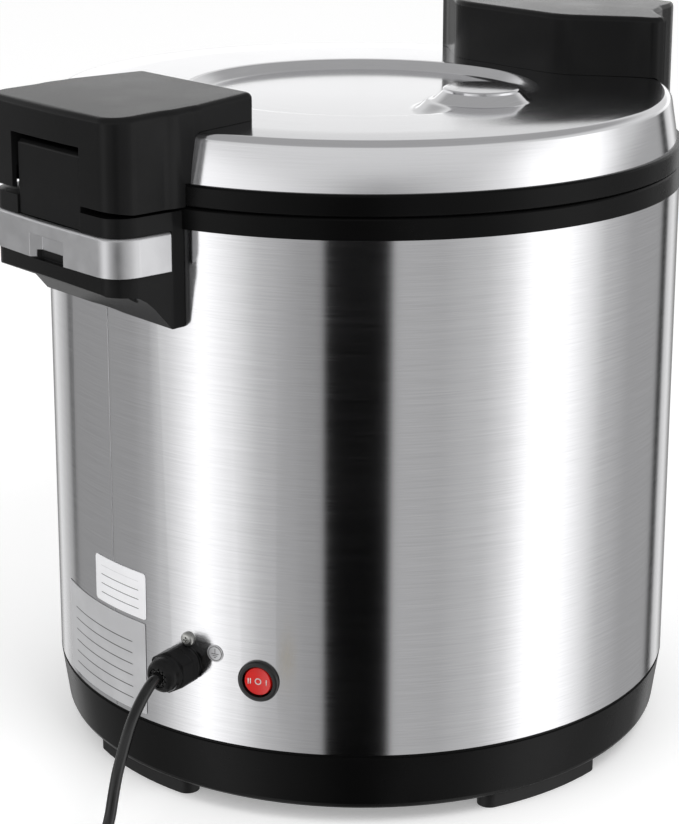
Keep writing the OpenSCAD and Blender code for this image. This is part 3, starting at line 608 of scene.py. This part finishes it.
COIL_HIGH = COIL_LOW + CLIMB + COIL_TURNS * 360
COIL_END = COIL_HIGH + TAIL_UP + TAIL_IN
COIL_STEPS = 148
PLUG_HALF, PLUG_GAP = 11.0, 0.3
PLUG_Z = LEAD_Z + COIL_PITCH + CORD_D / 2 + PLUG_GAP + PLUG_HALF


def ease(share):
    """A soft step from 0 to 1."""
    held = max(0.0, min(1.0, share))
    return held * held * (3 - 2 * held)


def coil_radius(turn):
    if turn <= COIL_LOW + CLIMB / 2:
        return COIL_R - COIL_PITCH * turn / 360
    if turn <= COIL_HIGH:
        return COIL_R - COIL_PITCH * (COIL_HIGH - turn) / 360
    past = (turn - COIL_HIGH - TAIL_UP * TAIL_LATE) / (TAIL_IN + TAIL_UP * (1 - TAIL_LATE))
    return COIL_R - TAIL_BEND * max(0.0, past) ** 2


def coil_height(turn):
    """Three soft rises: onto the first layer, over the second one and up to the plug's middle."""
    to_plug = PLUG_Z - LEAD_Z - 2 * COIL_PITCH - TAIL_GAP
    return (
        LEAD_Z
        + COIL_PITCH * ease((turn - COIL_LOW) / CLIMB)
        + (COIL_PITCH + TAIL_GAP) * ease((turn - COIL_HIGH) / TAIL_UP)
        + to_plug * ease((turn - COIL_HIGH - TAIL_UP) / TAIL_IN)
    )


def coil_point(turn):
    radius, angle = coil_radius(turn), radians(COIL_START + turn)
    x, y = COIL_AT[0] + radius * cos(angle), COIL_AT[1] + radius * sin(angle)
    return Vector((x, y, coil_height(turn)))


def drop_point(out, height):
    fallen = (height - DROP_FOOT) * (GLAND_Z - LEAD_Z) / DROP_TALL
    return Vector((GLAND_LEN + out, 0, LEAD_Z + fallen))


coil = [coil_point(COIL_END * k / COIL_STEPS) for k in range(COIL_STEPS + 1)]
last_step = coil[-1] - coil[-2]
tail = Vector((last_step.x, last_step.y, 0)).normalized()
lead_end = coil[-1] + CORD_D * tail
falling = [drop_point(out, height) for out, height in DROP]
lead_points = falling + [coil[0] - Vector((CORD_D, 0, 0))] + coil + [lead_end]
PLUG_PLACE = (
    Matrix.Rotation(GLAND_TURN, 4, "Z")
    @ Matrix.Translation((BODY_R, 0, 0))
    @ Matrix.Translation(lead_end * MM)
    @ Matrix.Rotation(atan2(tail.y, tail.x), 4, "Z")
    @ Matrix.Rotation(pi / 2, 4, "Y")
)


def build_lead_material():
    """Extruded jacket: glossy black, a little uneven and dusty from the floor."""
    material, tree, shader = blank("lead jacket", Coat_Roughness=0.12)
    place = node(tree, "ShaderNodeTexCoord", (-1200, 0))
    ripple = node(tree, "ShaderNodeTexNoise", (-900, 0))
    feed(tree, ripple, Vector=place.outputs["Object"], Scale=160.0, Detail=3.0, Roughness=0.5)
    dust = place_effect(tree, HANDLING, (-900, -300), Scale=45.0, Low=0.45, High=0.8)
    bump = node(tree, "ShaderNodeBump", (-400, -200))
    feed(tree, bump, Strength=0.12, Distance=0.0004, Height=ripple.outputs[0])
    feed(
        tree,
        shader,
        Base_Color=shades(tree, dust.outputs["Marks"], grey(0.006), grey(0.012)),
        Roughness=spread(tree, dust.outputs["Marks"], 0, 1, 0.2, 0.3),
        Normal=bump.outputs[0],
    )
    return material


LEAD_JACKET = build_lead_material()


def build_lead():
    curve = bpy.data.curves.new("lead", "CURVE")
    curve.dimensions = "3D"
    curve.resolution_u = 4
    curve.bevel_depth = CORD_D / 2 * MM
    curve.bevel_resolution = 5
    curve.use_fill_caps = True
    line = curve.splines.new("BEZIER")
    line.bezier_points.add(len(lead_points) - 1)
    for knot, point in zip(line.bezier_points, lead_points):
        knot.co = lead_place(*point)
        knot.handle_left_type = knot.handle_right_type = "AUTO"
    lead = bpy.data.objects.new("lead", curve)
    bpy.context.scene.collection.objects.link(lead)
    return paint(lead, LEAD_JACKET, "body", ("power_cord", "cord_coil"))


def build_plug():
    grip = block("plug_grip", (22 * MM, 25 * MM, 25.6 * MM), (0, 0, 31 * MM), 4.2 * MM, 5)
    edit(grip)
    pick(grip, lambda c, n: abs(n.x) > 0.99 and abs(c.x) > 10 * MM)
    bpy.ops.mesh.inset(thickness=1.2 * MM)
    bpy.ops.mesh.inset(thickness=1.0 * MM, depth=-0.9 * MM)
    done(40)
    ribs = []
    for row in range(4):
        for face in (-1, 1):
            place = (face * 10.45 * MM, 0, (25.5 + 3.6 * row) * MM)
            size = (1.1 * MM, 13 * MM, 1.5 * MM)
            ribs.append(block(f"plug_rib_{row}_{face + 1}", size, place, 0.5 * MM, 2))
    relief = [(CORD_D / 2 + 0.12, 0.2)]
    for k in range(6):
        z, r = 1.0 + 3.0 * k, CORD_D / 2 + 0.5 + 0.42 * k
        relief += [(r, z), (r + 0.35, z + 0.5), (r + 0.35, z + 1.7), (r, z + 2.2)]
    relief += [(CORD_D / 2 + 4.2, 20.5), (CORD_D / 2 + 4.2, 21.5)]
    sleeve = turned("plug_relief", [(r * MM, z * MM) for r, z in relief], 40)
    plug = joined([grip, sleeve, *ribs], "plug_moulding")
    settle(plug, PLUG_PLACE)
    return paint(plug, RUBBER, "body", ("plug_body",))


TIE_TURN, TIE_WIDE, TIE_THICK = 196.5, 10.0, 0.6


def build_tie():
    """A hook and loop strap round the bundle, with its free end lying on itself."""
    turns = [TIE_TURN + 360 * k for k in range(6)]
    radii = [coil_radius(turn) for turn in turns if turn < COIL_HIGH]
    low, high = min(radii) - CORD_D / 2 - 1.2, max(radii) + CORD_D / 2 + 0.4
    top = LEAD_Z + COIL_PITCH + CORD_D / 2 + 0.4
    strap = begin(bpy.ops.mesh.primitive_plane_add, "lead_tie", size=1)
    strap.scale = ((high - low + TIE_THICK) * MM, (top - 0.4) * MM, 1)
    settle(strap)
    edit(strap, "VERT")
    bpy.ops.mesh.select_all(action="SELECT")
    bpy.ops.mesh.bevel(offset=3.2 * MM, segments=5, affect="VERTICES")
    bpy.ops.mesh.select_mode(type="FACE")
    bpy.ops.mesh.select_all(action="SELECT")
    bpy.ops.mesh.delete(type="ONLY_FACE")
    bpy.ops.mesh.select_mode(type="EDGE")
    bpy.ops.mesh.select_all(action="SELECT")
    bpy.ops.mesh.extrude_region_move(TRANSFORM_OT_translate={"value": (0, 0, TIE_WIDE * MM)})
    bpy.ops.mesh.select_all(action="SELECT")
    bpy.ops.mesh.normals_make_consistent(inside=False)
    done()
    finish_with(strap, "SOLIDIFY", thickness=TIE_THICK * MM, offset=0.0)
    size = (16 * MM, TIE_THICK * MM, 9.4 * MM)
    place = (-3 * MM, (top / 2 + 0.2) * MM, TIE_WIDE / 2 * MM)
    tie = joined([strap, block("lead_tie_flap", size, place, 0.25 * MM, 2)], "lead_tie")
    smoothed(tie, 40)
    settle(
        tie,
        Matrix.Rotation(GLAND_TURN, 4, "Z")
        @ Matrix.Translation((BODY_R + COIL_AT[0] * MM, COIL_AT[1] * MM, 0))
        @ Matrix.Rotation(radians(COIL_START + TIE_TURN), 4, "Z")
        @ Matrix.Translation(((low + high) / 2 * MM, TIE_WIDE / 2 * MM, (top / 2 + 0.33) * MM))
        @ Matrix.Rotation(pi / 2, 4, "X"),
    )
    return paint(tie, RUBBER, "body", ("cord_tie",))


lead = build_lead()
plug = build_plug()
tie = build_tie()
for loose in (lead, plug, tie):
    loose.visible_glossy = False
NODES["plug_pins"].data.materials[0] = BRASS


# Finishes of the CAD solids that stay as they are

FINISHES = {
    STEEL: ["outer_shell"],
    RING_PLASTIC: ["base_tray", "body_ring", "lid_ring"],
    BLACK_PLASTIC: ["gland_body", "gland_nut", "gland_locknut"],
    RUBBER: ["feet", "gland_washer", "gland_seal"],
    ZINC: ["foot_screws", "bracket_screws", "keeper_screws", "earth_screw", "thermal_fuse"],
    ALUMINIUM: ["inner_liner", "heater_plate", "inner_plate"],
    TRIM: ["earth_disc"],
    POT_COAT: ["inner_pot"],
    HEATER_MAT: ["side_heater"],
    GLASS_WOOL: ["insulation_blanket", "lid_insulation"],
    CERAMIC: ["thermostat", "terminal_block"],
    WIRE: ["inner_wires"],
    SILICONE: ["lid_gasket"],
    GLOSS_BLACK: ["switch_housing"],
    SWITCH_RED: ["rocker"],
    BRASS: ["switch_tabs", "plug_pins"],
}
FINISHES[ZINC] += ["hinge_pin", "latch_pin", "latch_spring", "latch_keeper"]
for finish, names in FINISHES.items():
    for name in names:
        NODES[name].data.materials[0] = finish


# Mouldings whose curves the CAD gives as facets


def between(value, table):
    """Reads a value from a table of pairs, straight between them."""
    for (at0, to0), (at1, to1) in zip(table, table[1:]):
        if value <= at1:
            return to0 + (to1 - to0) * max(0.0, (value - at0) / (at1 - at0))
    return table[-1][1]


# How much a cheek widens by its distance from the axis, in millimetres
FLARE = [(125, 0.6), (150, 0.9), (168, 0.5), (172, 0.5), (176, 1.6), (180, 4.4), (184, 6.4)]
FLARE += [(188, 7.3), (192, 6.5), (195, 5.5), (205, 2.2), (209, 1.2), (213, 0.4), (222, 0)]

# Where the changes below begin, in millimetres to the side and out from the axis, with how far they
# run and how strong they are
CHEEK_SIDE, CHEEK_OUT, CHEEK_SOFT = 45, 115, 6
WRAP_NEAR, WRAP_FAR, WRAP_TOP = 175, 193, 391.4
EAR_SIDE, EAR_Z, EAR_OUT = (32, 40), (366, 382), 227.8
EAR_FLUSH, EAR_EDGE, EAR_LEAN = 227.85, 39.5, 0.04
NOSE_SIDE, NOSE_OUT, NOSE_LONG, NOSE_BY = 41, 194, 32, 0.6
WING_SIDE, WING_OUT, WING_LONG, WING_BACK = 62, 190, 38, 5
WING_FACE, WING_HELD, WING_SHORT = 158, 0.2, 0.85


def put(side, out, at):
    """A point moved to a new distance aside and out, on the same side of the axis as before."""
    return Vector((side * MM * (1 if at.x > 0 else -1), out * MM * (1 if at.y > 0 else -1), at.z))


def flared(at):
    """The rear housing's cheeks widen in a soft curve.

    What lies against the round body stays against it. The ends of the hinge cover's two ears, which
    stand out of its back face in the solid, are laid flush.
    """
    side, out, height = abs(at.x) / MM, abs(at.y) / MM, at.z / MM
    reach = sqrt(side * side + out * out)
    if side > CHEEK_SIDE and out > CHEEK_OUT:
        side += between(out, FLARE) * min(1.0, (side - CHEEK_SIDE) / CHEEK_SOFT)
        if WRAP_NEAR < reach < WRAP_FAR and height < WRAP_TOP:
            out = sqrt(reach * reach - side * side)
    is_ear = EAR_SIDE[0] < side < EAR_SIDE[1] and EAR_Z[0] < height < EAR_Z[1]
    if is_ear and out > EAR_OUT:
        out = EAR_FLUSH + (EAR_EDGE - side) * EAR_LEAN
    return put(side, out, at)


def narrowed(at):
    """The front housing draws in towards its nose."""
    side, out = abs(at.x) / MM, abs(at.y) / MM
    if side > NOSE_SIDE and out > NOSE_OUT:
        share = min(1.0, (out - NOSE_OUT) / NOSE_LONG)
        side = NOSE_SIDE + (side - NOSE_SIDE) * (1 - NOSE_BY * share)
    return put(side, out, at)


def winged(at):
    """The front cover's two ears end short and curve back round the lid."""
    side, out = abs(at.x) / MM, abs(at.y) / MM
    if side > WING_SIDE and out < WING_OUT:
        held = 1 if out < WING_FACE else WING_HELD
        out += WING_BACK * min(1.0, (side - WING_SIDE) / WING_LONG) * held
        side = WING_SIDE + (side - WING_SIDE) * WING_SHORT
    return narrowed(put(side, out, at))


def tapered(at):
    return narrowed(flared(at))


for source, body, changes in (
    ("hinge_cover", "lid", {"place": flared}),
    ("front_cover", "lid", {"place": winged}),
    ("rear_bracket", "body", {"place": flared}),
    ("front_bracket", "body", {"place": tapered}),
    ("hinge_post", "body", {"edge": 0.0006}),
    ("latch_lever", "latch", {}),
):
    finished_copy(source, f"{source}_moulding", BLACK_PLASTIC, body, "black_plastic", **changes)
for end, place in (("rear", flared), ("front", tapered)):
    finished_copy(
        f"{end}_trim_band", f"{end}_trim_strip", TRIM, "body", "bright_trim", smooth=40, place=place
    )


# Lid pressing, with its sunk middle and the boss over the steam vent


def rounded(x, z, r, low, high, steps):
    """Points of an arc in the turned profile, in millimetres, from one angle to the other."""
    turns = [radians(low + (high - low) * k / steps) for k in range(steps + 1)]
    return [(x + r * cos(turn), z + r * sin(turn)) for turn in turns]


# The lid from its sunk middle to its leaning side, in millimetres and degrees
TOP, DISH, DISH_R, DISH_FOOT, CROWN = 391.5, 386.0, 106.0, 97.0, 5.0
SIDE_R, SIDE_LEAN, SIDE_FOOT, SIDE_END, SKIN = 188.0, 10.0, 364.5, 363.5, 0.8

# The vent's boss with its pad's radius and how far that melts into the rim, and the tube below it
VENT_AT, VENT_PAD, MELT = Vector((-83.0, -17.4)), 39.5, 26.0
TUBE_AT = Vector((-63.5, -35.2))
STEAM_SLOTS = (294, 318, 342)


def lid_side(skin):
    """The lid's profile from its middle to its lower edge, moved in by the sheet's thickness."""
    low = radians(SIDE_LEAN)
    drop = TOP - CROWN - SIDE_FOOT + CROWN * sin(low)
    edge_x = SIDE_R - drop * sin(low) / cos(low) - CROWN * cos(low)
    line = [(r, DISH - skin) for r in (1.0, *range(12, 84, 2))]
    line += [(84 + 1.5 * k, DISH - skin) for k in range(15)]
    line += [(r, TOP - skin) for r in (DISH_R + 1.5, 130.0, 155.0)]
    line += rounded(edge_x, TOP - CROWN, CROWN - skin, 90, SIDE_LEAN, 8)
    return line + [(SIDE_R - skin, SIDE_END)]


def rise(x, y):
    """How high the pressing stands over its sunk middle, at its rim and at the vent's pad."""
    rim = DISH_FOOT - sqrt(x * x + y * y)
    pad = (Vector((x, y)) - VENT_AT).length - VENT_PAD
    both = min(rim, pad) - max(0.0, MELT - abs(rim - pad)) ** 2 / (4 * MELT)
    return (TOP - DISH) * ease(-both / (DISH_R - DISH_FOOT))


def build_lid():
    outside, inside = lid_side(0.0), lid_side(SKIN)
    pan = turned("lid_pressing", [(r * MM, z * MM) for r, z in outside + inside[::-1]], 200)
    for point in pan.data.vertices:
        x, y, z = point.co / MM
        if z < DISH + 0.1 and x * x + y * y < DISH_R**2:
            point.co.z += rise(x, y) * MM
    smoothed(pan, 50)
    boss_line = [(29.6, -0.6), (29.6, -0.02), (28.8, 0.12), (28.0, 0.5), (27.1, 1.1), (22.4, 5.5)]
    boss_line += rounded(20.8, 5.2, 2.2, 45, 90, 4) + [(1.0, 7.4)]
    boss = turned("vent_boss", [(r * MM, z * MM) for r, z in boss_line], 96)
    for turn in STEAM_SLOTS:
        size, place = (9 * MM, 7 * MM, 1.8 * MM), (24.6 * MM, 0, 2.9 * MM)
        slot = block("steam_slot", size, place, 0.7 * MM, 3)
        settle(slot, Matrix.Rotation(radians(turn), 4, "Z"))
        finish_with(boss, "BOOLEAN", object=slot, operation="DIFFERENCE", solver="EXACT")
        bpy.data.objects.remove(slot)
    smoothed(boss, 28)
    settle(boss, Matrix.Translation((*(VENT_AT * MM), TOP * MM)))
    lid = joined([pan, boss], "lid_pressing")
    return paint(lid, LID_STEEL, "lid", ("lid_shell",))


def build_vent_tube():
    """Rubber tube for the steam through the filling of the lid, leaning over to the boss."""
    low, high = 353.0, 389.6
    lean_from, lean_tall, lean_by = 366, 20, 10
    line = [(3.2, low + 0.6), (3.6, low), (6.6, low), (7.0, low + 0.4), (7.0, high - 0.4)]
    line += [(6.6, high), (3.6, high), (3.0, high - 0.4), (3.0, low + 0.9), line[0]]
    tube = turned("vent_tube", [(r * MM, z * MM) for r, z in line], 40, closed=True)
    lean = (VENT_AT - TUBE_AT).normalized() * lean_by
    for point in tube.data.vertices:
        share = ease((point.co.z / MM - lean_from) / lean_tall)
        point.co.x += (TUBE_AT.x + lean.x * share) * MM
        point.co.y += (TUBE_AT.y + lean.y * share) * MM
    return paint(tube, RUBBER, "lid", ("vent_grommet",))


build_lid()
build_vent_tube()


# Plates on the steel


INK = (0.05, 0.05, 0.05, 1)


def build_plate_material(name, dark, light, rough, rows, metallic):
    """Printed foil: ruled rows on a bare ground, placed by the plate's own map."""
    material, tree, shader = blank(name, Metallic=metallic)
    flat = node(tree, "ShaderNodeUVMap", (-1200, 0), uv_map="flat")
    parts = node(tree, "ShaderNodeSeparateXYZ", (-1000, 0))
    tree.links.new(flat.outputs[0], parts.inputs[0])
    u, v = parts.outputs[0], parts.outputs[1]
    inside = maths(tree, "MULTIPLY", spread(tree, u, 0.12, 0.14), spread(tree, u, 0.88, 0.86))
    stripe = maths(tree, "PINGPONG", maths(tree, "MULTIPLY", v, rows), 0.5)
    ruled = maths(tree, "MULTIPLY", spread(tree, stripe, 0.05, 0.03), inside)
    held = maths(tree, "MULTIPLY", spread(tree, v, 0.1, 0.11), spread(tree, v, 0.8, 0.79))
    ink = maths(tree, "MULTIPLY", ruled, held, clamp=True)
    marks = place_effect(tree, HANDLING, (-900, -300), Scale=40.0, Low=0.35, High=0.75)
    ground = shades(tree, marks.outputs["Marks"], dark, light)
    feed(
        tree,
        shader,
        Base_Color=mixed(tree, ink, ground, INK),
        Roughness=spread(tree, marks.outputs["Marks"], 0, 1, rough - 0.04, rough + 0.05),
    )
    return material


PLATE_FOIL = build_plate_material("plate foil", grey(0.56), grey(0.62), 0.38, 8.0, 0.15)
PLATE_WHITE = build_plate_material("white plate", grey(0.92), grey(0.96), 0.4, 5.0, 0.0)


PLATE_LIFT, PLATE_THICK, PLATE_COLUMNS = 0.00022, 0.00012, 18


def build_plate(name, turn_low, turn_high, low, high, corner, material):
    """A thin plate with rounded corners, bent round the steel between two turns and two heights."""
    wide, tall = BODY_R * radians(turn_high - turn_low), high - low
    piece = begin(bpy.ops.mesh.primitive_plane_add, name, size=1)
    piece.scale = (wide, tall, 1)
    settle(piece)
    edit(piece, "VERT")
    bpy.ops.mesh.select_all(action="SELECT")
    bpy.ops.mesh.bevel(offset=corner, segments=6, affect="VERTICES")
    for k in range(1, PLATE_COLUMNS):
        cut = wide * (k / PLATE_COLUMNS - 0.5)
        bpy.ops.mesh.select_all(action="SELECT")
        bpy.ops.mesh.bisect(plane_co=(cut, 0, 0), plane_no=(1, 0, 0))
    bpy.ops.mesh.select_all(action="SELECT")
    bpy.ops.mesh.extrude_region_move(TRANSFORM_OT_translate={"value": (0, 0, PLATE_THICK)})
    bpy.ops.mesh.select_all(action="SELECT")
    bpy.ops.mesh.normals_make_consistent(inside=False)
    mesh = bmesh.from_edit_mesh(piece.data)
    flat = mesh.loops.layers.uv.new("flat")
    for face in mesh.faces:
        for corner_loop in face.loops:
            at = corner_loop.vert.co
            corner_loop[flat].uv = (at.x / wide + 0.5, at.y / tall + 0.5)
    for vert in mesh.verts:
        turn = radians((turn_low + turn_high) / 2) + vert.co.x / BODY_R
        out = BODY_R + PLATE_LIFT + vert.co.z
        vert.co = (out * cos(turn), out * sin(turn), (low + high) / 2 + vert.co.y)
    bmesh.update_edit_mesh(piece.data)
    done(30)
    return paint(piece, material, "body")


build_plate("rating_plate", 71.8, 98.3, 0.0485, 0.1045, 0.0012, PLATE_FOIL)
build_plate("test_plate", 84.3, 98.6, 0.107, 0.135, 0.0022, PLATE_WHITE)


def build_seam():
    """The edge of the rolled sheet, lapped up the middle of the back."""
    wide, thick, tall, middle = 0.0008, 0.00016, 0.2398, 0.1661
    strip = block("rear_seam", (wide, thick, tall), (0, 0, 0), 0.00007, 2)
    settle(strip, Matrix.Translation((0, BODY_R + thick / 2, middle)))
    return paint(strip, TRIM, "body")


build_seam()


# Switch and earth marks


# The rocker's hollow: its radius, how far its deepest line stands out of the steel, and the print
HOLLOW_R, HOLLOW_LIFT, PRINT_LIFT = 0.03, 0.0012, 0.00003


def build_switch_marks():
    """Position marks II, O and I printed on the rocker's hollow face."""
    bars = []
    for name, side in (("a", -5.6), ("b", -4.4), ("c", 5.0)):
        size = (3.4 * MM, 0.55 * MM, 0.16 * MM)
        bars.append(block(f"mark_bar_{name}", size, (0, side * MM, 0), 0.05 * MM, 2))
    loop = hoop("mark_loop", 1.65 * MM, 0.3 * MM, 40)
    loop.scale = (1, 1, 0.27)
    settle(loop)
    marks = joined([*bars, loop], "switch_marks")
    for point in marks.data.vertices:
        hollow = HOLLOW_R - sqrt(HOLLOW_R**2 - point.co.y**2)
        point.co.z += HOLLOW_LIFT + hollow + PRINT_LIFT
    smoothed(marks, 40)
    settle(marks, on_steel(SWITCH_SIDE, SWITCH_Z * MM))
    return paint(marks, MARK_WHITE, "switch_rocker")


DISC_THICK = 0.00032


def build_earth_mark():
    """Plain earth sign pressed into the small disc: a ring, a stem and three bars, drawn in dark
    grey as painted shade for its pressed lines.
    """
    ring = hoop("earth_ring", 4.1 * MM, 0.22 * MM, 48)
    size, place = (3.0 * MM, 0.4 * MM, 0.3 * MM), (-1.4 * MM, 0, 0)
    parts = [ring, block("earth_stem", size, place, 0.12 * MM, 2)]
    for k, wide in enumerate((4.6, 3.0, 1.4)):
        size, place = (0.42 * MM, wide * MM, 0.3 * MM), ((0.2 + 1.1 * k) * MM, 0, 0)
        parts.append(block(f"earth_bar_{k}", size, place, 0.12 * MM, 2))
    mark = joined(parts, "earth_mark")
    smoothed(mark, 40)
    settle(mark, on_steel(EARTH_SIDE, EARTH_Z * MM, DISC_THICK))
    return paint(mark, MARK_GREY, "body")


CLAWS = 10


def build_gland_claws():
    """Split claws that the gland's nut closes on the lead, each drawn in at its tip."""
    place = (4.15 * MM, 0, 22.2 * MM)
    claw = begin(bpy.ops.mesh.primitive_cube_add, "gland_claw_0", size=1, location=place)
    claw.scale = (1.0 * MM, 2.0 * MM, 4.6 * MM)
    settle(claw)
    edit(claw)
    pick(claw, lambda c, n: n.z > 0.9)
    bpy.ops.transform.resize(value=(0.6, 0.8, 1), center_override=(3.7 * MM, 0, 24.5 * MM))
    bpy.ops.mesh.select_all(action="SELECT")
    bpy.ops.mesh.bevel(offset=0.18 * MM, segments=2)
    done(40)
    claws = [claw]
    for k in range(1, CLAWS):
        other = claw.copy()
        other.data = claw.data.copy()
        other.name = f"gland_claw_{k}"
        bpy.context.scene.collection.objects.link(other)
        settle(other, Matrix.Rotation(tau * k / CLAWS, 4, "Z"))
        claws.append(other)
    ring = joined(claws, "gland_claws")
    settle(ring, on_steel(GLAND_SIDE, GLAND_Z * MM))
    return paint(ring, GLOSS_BLACK, "body")


build_switch_marks()
build_earth_mark()
build_gland_claws()


# Floor, light and backdrop


WHITE = (1, 1, 1, 1)
FLOOR_GLOW = 0.3


def build_floor():
    """A pale floor that glows a little to the camera, so that it fades into the white surround."""
    floor = begin(bpy.ops.mesh.primitive_plane_add, "floor", size=8, location=(0, 0, -0.0002))
    material, tree, shader = blank("pale floor", Base_Color=(0.9, 0.9, 0.9, 1), Roughness=0.8)
    glow = node(tree, "ShaderNodeEmission", (-200, 200))
    feed(tree, glow, Color=WHITE, Strength=FLOOR_GLOW)
    both = node(tree, "ShaderNodeAddShader", (0, 100))
    tree.links.new(shader.outputs[0], both.inputs[0])
    tree.links.new(glow.outputs[0], both.inputs[1])
    shown = by_ray(tree, "Is Camera Ray", shader.outputs[0], both.outputs[0], (200, 100))
    tree.links.new(shown, tree.nodes["Material Output"].inputs["Surface"])
    floor.data.materials.append(material)
    floor.visible_glossy = False


# Brightness of the surround by degrees to the right of the camera, as a low ring and a high ring
# over it. A ramp takes at most 32 stops.

LOW_LIGHT = [(-180, 0.3), (-161, 0.3), (-154, 0.95), (-146, 0.72), (-135.6, 0.42), (-134.5, 0.06)]
LOW_LIGHT += [(-133.2, 0.06), (-131.5, 0.36), (-90, 0.41), (-82, 0.53), (-71, 1.0), (-59, 1.66)]
LOW_LIGHT += [(-37, 0.68), (-21, 0.42), (-13.6, 0.38), (-12.9, 0.002), (9.6, 0.002), (10.6, 0.56)]
LOW_LIGHT += [(28, 0.53), (44, 0.7), (53, 1.0), (62, 1.6), (77, 1.6), (96.5, 0.67), (112, 0.45)]
LOW_LIGHT += [(134.5, 0.42), (138, 0.03), (142, 0.04), (144, 0.7), (152, 0.95), (161, 0.3)]
LOW_LIGHT += [(180, 0.3)]
HIGH_LIGHT = [(-180, 1.32), (-120, 1.25), (-60, 1.3), (-36, 1.0), (-14, 0.66), (-3, 0.44)]
HIGH_LIGHT += [(6, 0.36), (17, 0.44), (38, 0.7), (50, 0.95), (62, 1.4), (90, 1.5), (106, 0.8)]
HIGH_LIGHT += [(128, 0.6), (150, 1.25), (180, 1.32)]

# How high a direction points where the low ring gives way to the high one and this to the ceiling,
# and the ceiling's own two heights and levels
TO_HIGH, TO_CEILING = (-0.02, 0.05), (0.14, 0.185)
CEILING = (0.35, 0.6, 0.39, 0.21)

# The colours of a ramp end at 1, so it holds the brightness divided by this
RAMP_TOP = 2.0
EVEN_LIGHT = 0.75


def ring_of_light(tree, share, stops, at):
    """The brightness of one ring, read at a share of the full turn."""
    ramp = node(tree, "ShaderNodeValToRGB", at)
    ramp.color_ramp.interpolation = "LINEAR"
    marks = ramp.color_ramp.elements
    for k, (angle, value) in enumerate(stops):
        place = angle / 360 + 0.5
        stop = marks[0] if k == 0 else marks[-1] if k == len(stops) - 1 else marks.new(place)
        stop.position = place
        stop.color = (value / RAMP_TOP, value / RAMP_TOP, value / RAMP_TOP, 1)
    tree.links.new(share, ramp.inputs[0])
    return ramp.outputs[0]


def background(tree, colour, strength, at):
    made = node(tree, "ShaderNodeBackground", at)
    return feed(tree, made, Color=colour, Strength=strength).outputs[0]


def build_studio():
    """A white surround that lights matt pieces evenly.

    What metal and gloss see of it has tall soft boxes, grey walls and dark flags.
    """
    world = bpy.data.worlds.new("studio")
    bpy.context.scene.world = world
    world.use_nodes = True
    tree = world.node_tree
    tree.nodes.clear()
    place = node(tree, "ShaderNodeTexCoord", (-1400, 0))
    front = node(tree, "ShaderNodeVectorRotate", (-1200, 0), rotation_type="Z_AXIS")
    feed(tree, front, Vector=place.outputs["Generated"], Angle=radians(90 - CAMERA_SIDE))
    parts = node(tree, "ShaderNodeSeparateXYZ", (-1000, 0))
    tree.links.new(front.outputs[0], parts.inputs[0])
    x, y, z = parts.outputs
    turn = maths(tree, "ARCTAN2", maths(tree, "MULTIPLY", x, -1.0), y)
    share = spread(tree, turn, -pi, pi, smooth=False)
    low = ring_of_light(tree, share, LOW_LIGHT, (-300, 400))
    high = ring_of_light(tree, share, HIGH_LIGHT, (-300, 100))
    wall = mixed(tree, spread(tree, z, *TO_HIGH), low, high)
    look = mixed(tree, spread(tree, z, *TO_CEILING), wall, spread(tree, z, *CEILING))
    seen = background(tree, look, RAMP_TOP, (200, 200))
    even = background(tree, WHITE, EVEN_LIGHT, (200, 0))
    white = background(tree, WHITE, 1.0, (200, -200))
    bounced = by_ray(tree, "Is Diffuse Ray", seen, even, (450, 100))
    shown = by_ray(tree, "Is Camera Ray", bounced, white, (650, 100))
    out = node(tree, "ShaderNodeOutputWorld", (850, 100))
    tree.links.new(shown, out.inputs["Surface"])


LAMP_AIM = Vector((0, 0, 0.25))


def add_lamp(name, place, size, power):
    data = bpy.data.lights.new(name, "AREA")
    data.shape = "RECTANGLE"
    data.size, data.size_y = size
    data.energy = power
    lamp = bpy.data.objects.new(name, data)
    bpy.context.scene.collection.objects.link(lamp)
    lamp.location = place
    lamp.visible_glossy = False
    lamp.rotation_euler = (LAMP_AIM - Vector(place)).to_track_quat("-Z", "Y").to_euler()


build_floor()
build_studio()
add_lamp("key_lamp", (-1.4, 0.2, 1.9), (1.0, 1.0), 14)
add_lamp("fill_lamp", (-0.2, 1.9, 1.3), (1.2, 0.8), 6)

bpy.context.scene.view_settings.view_transform = "Standard"
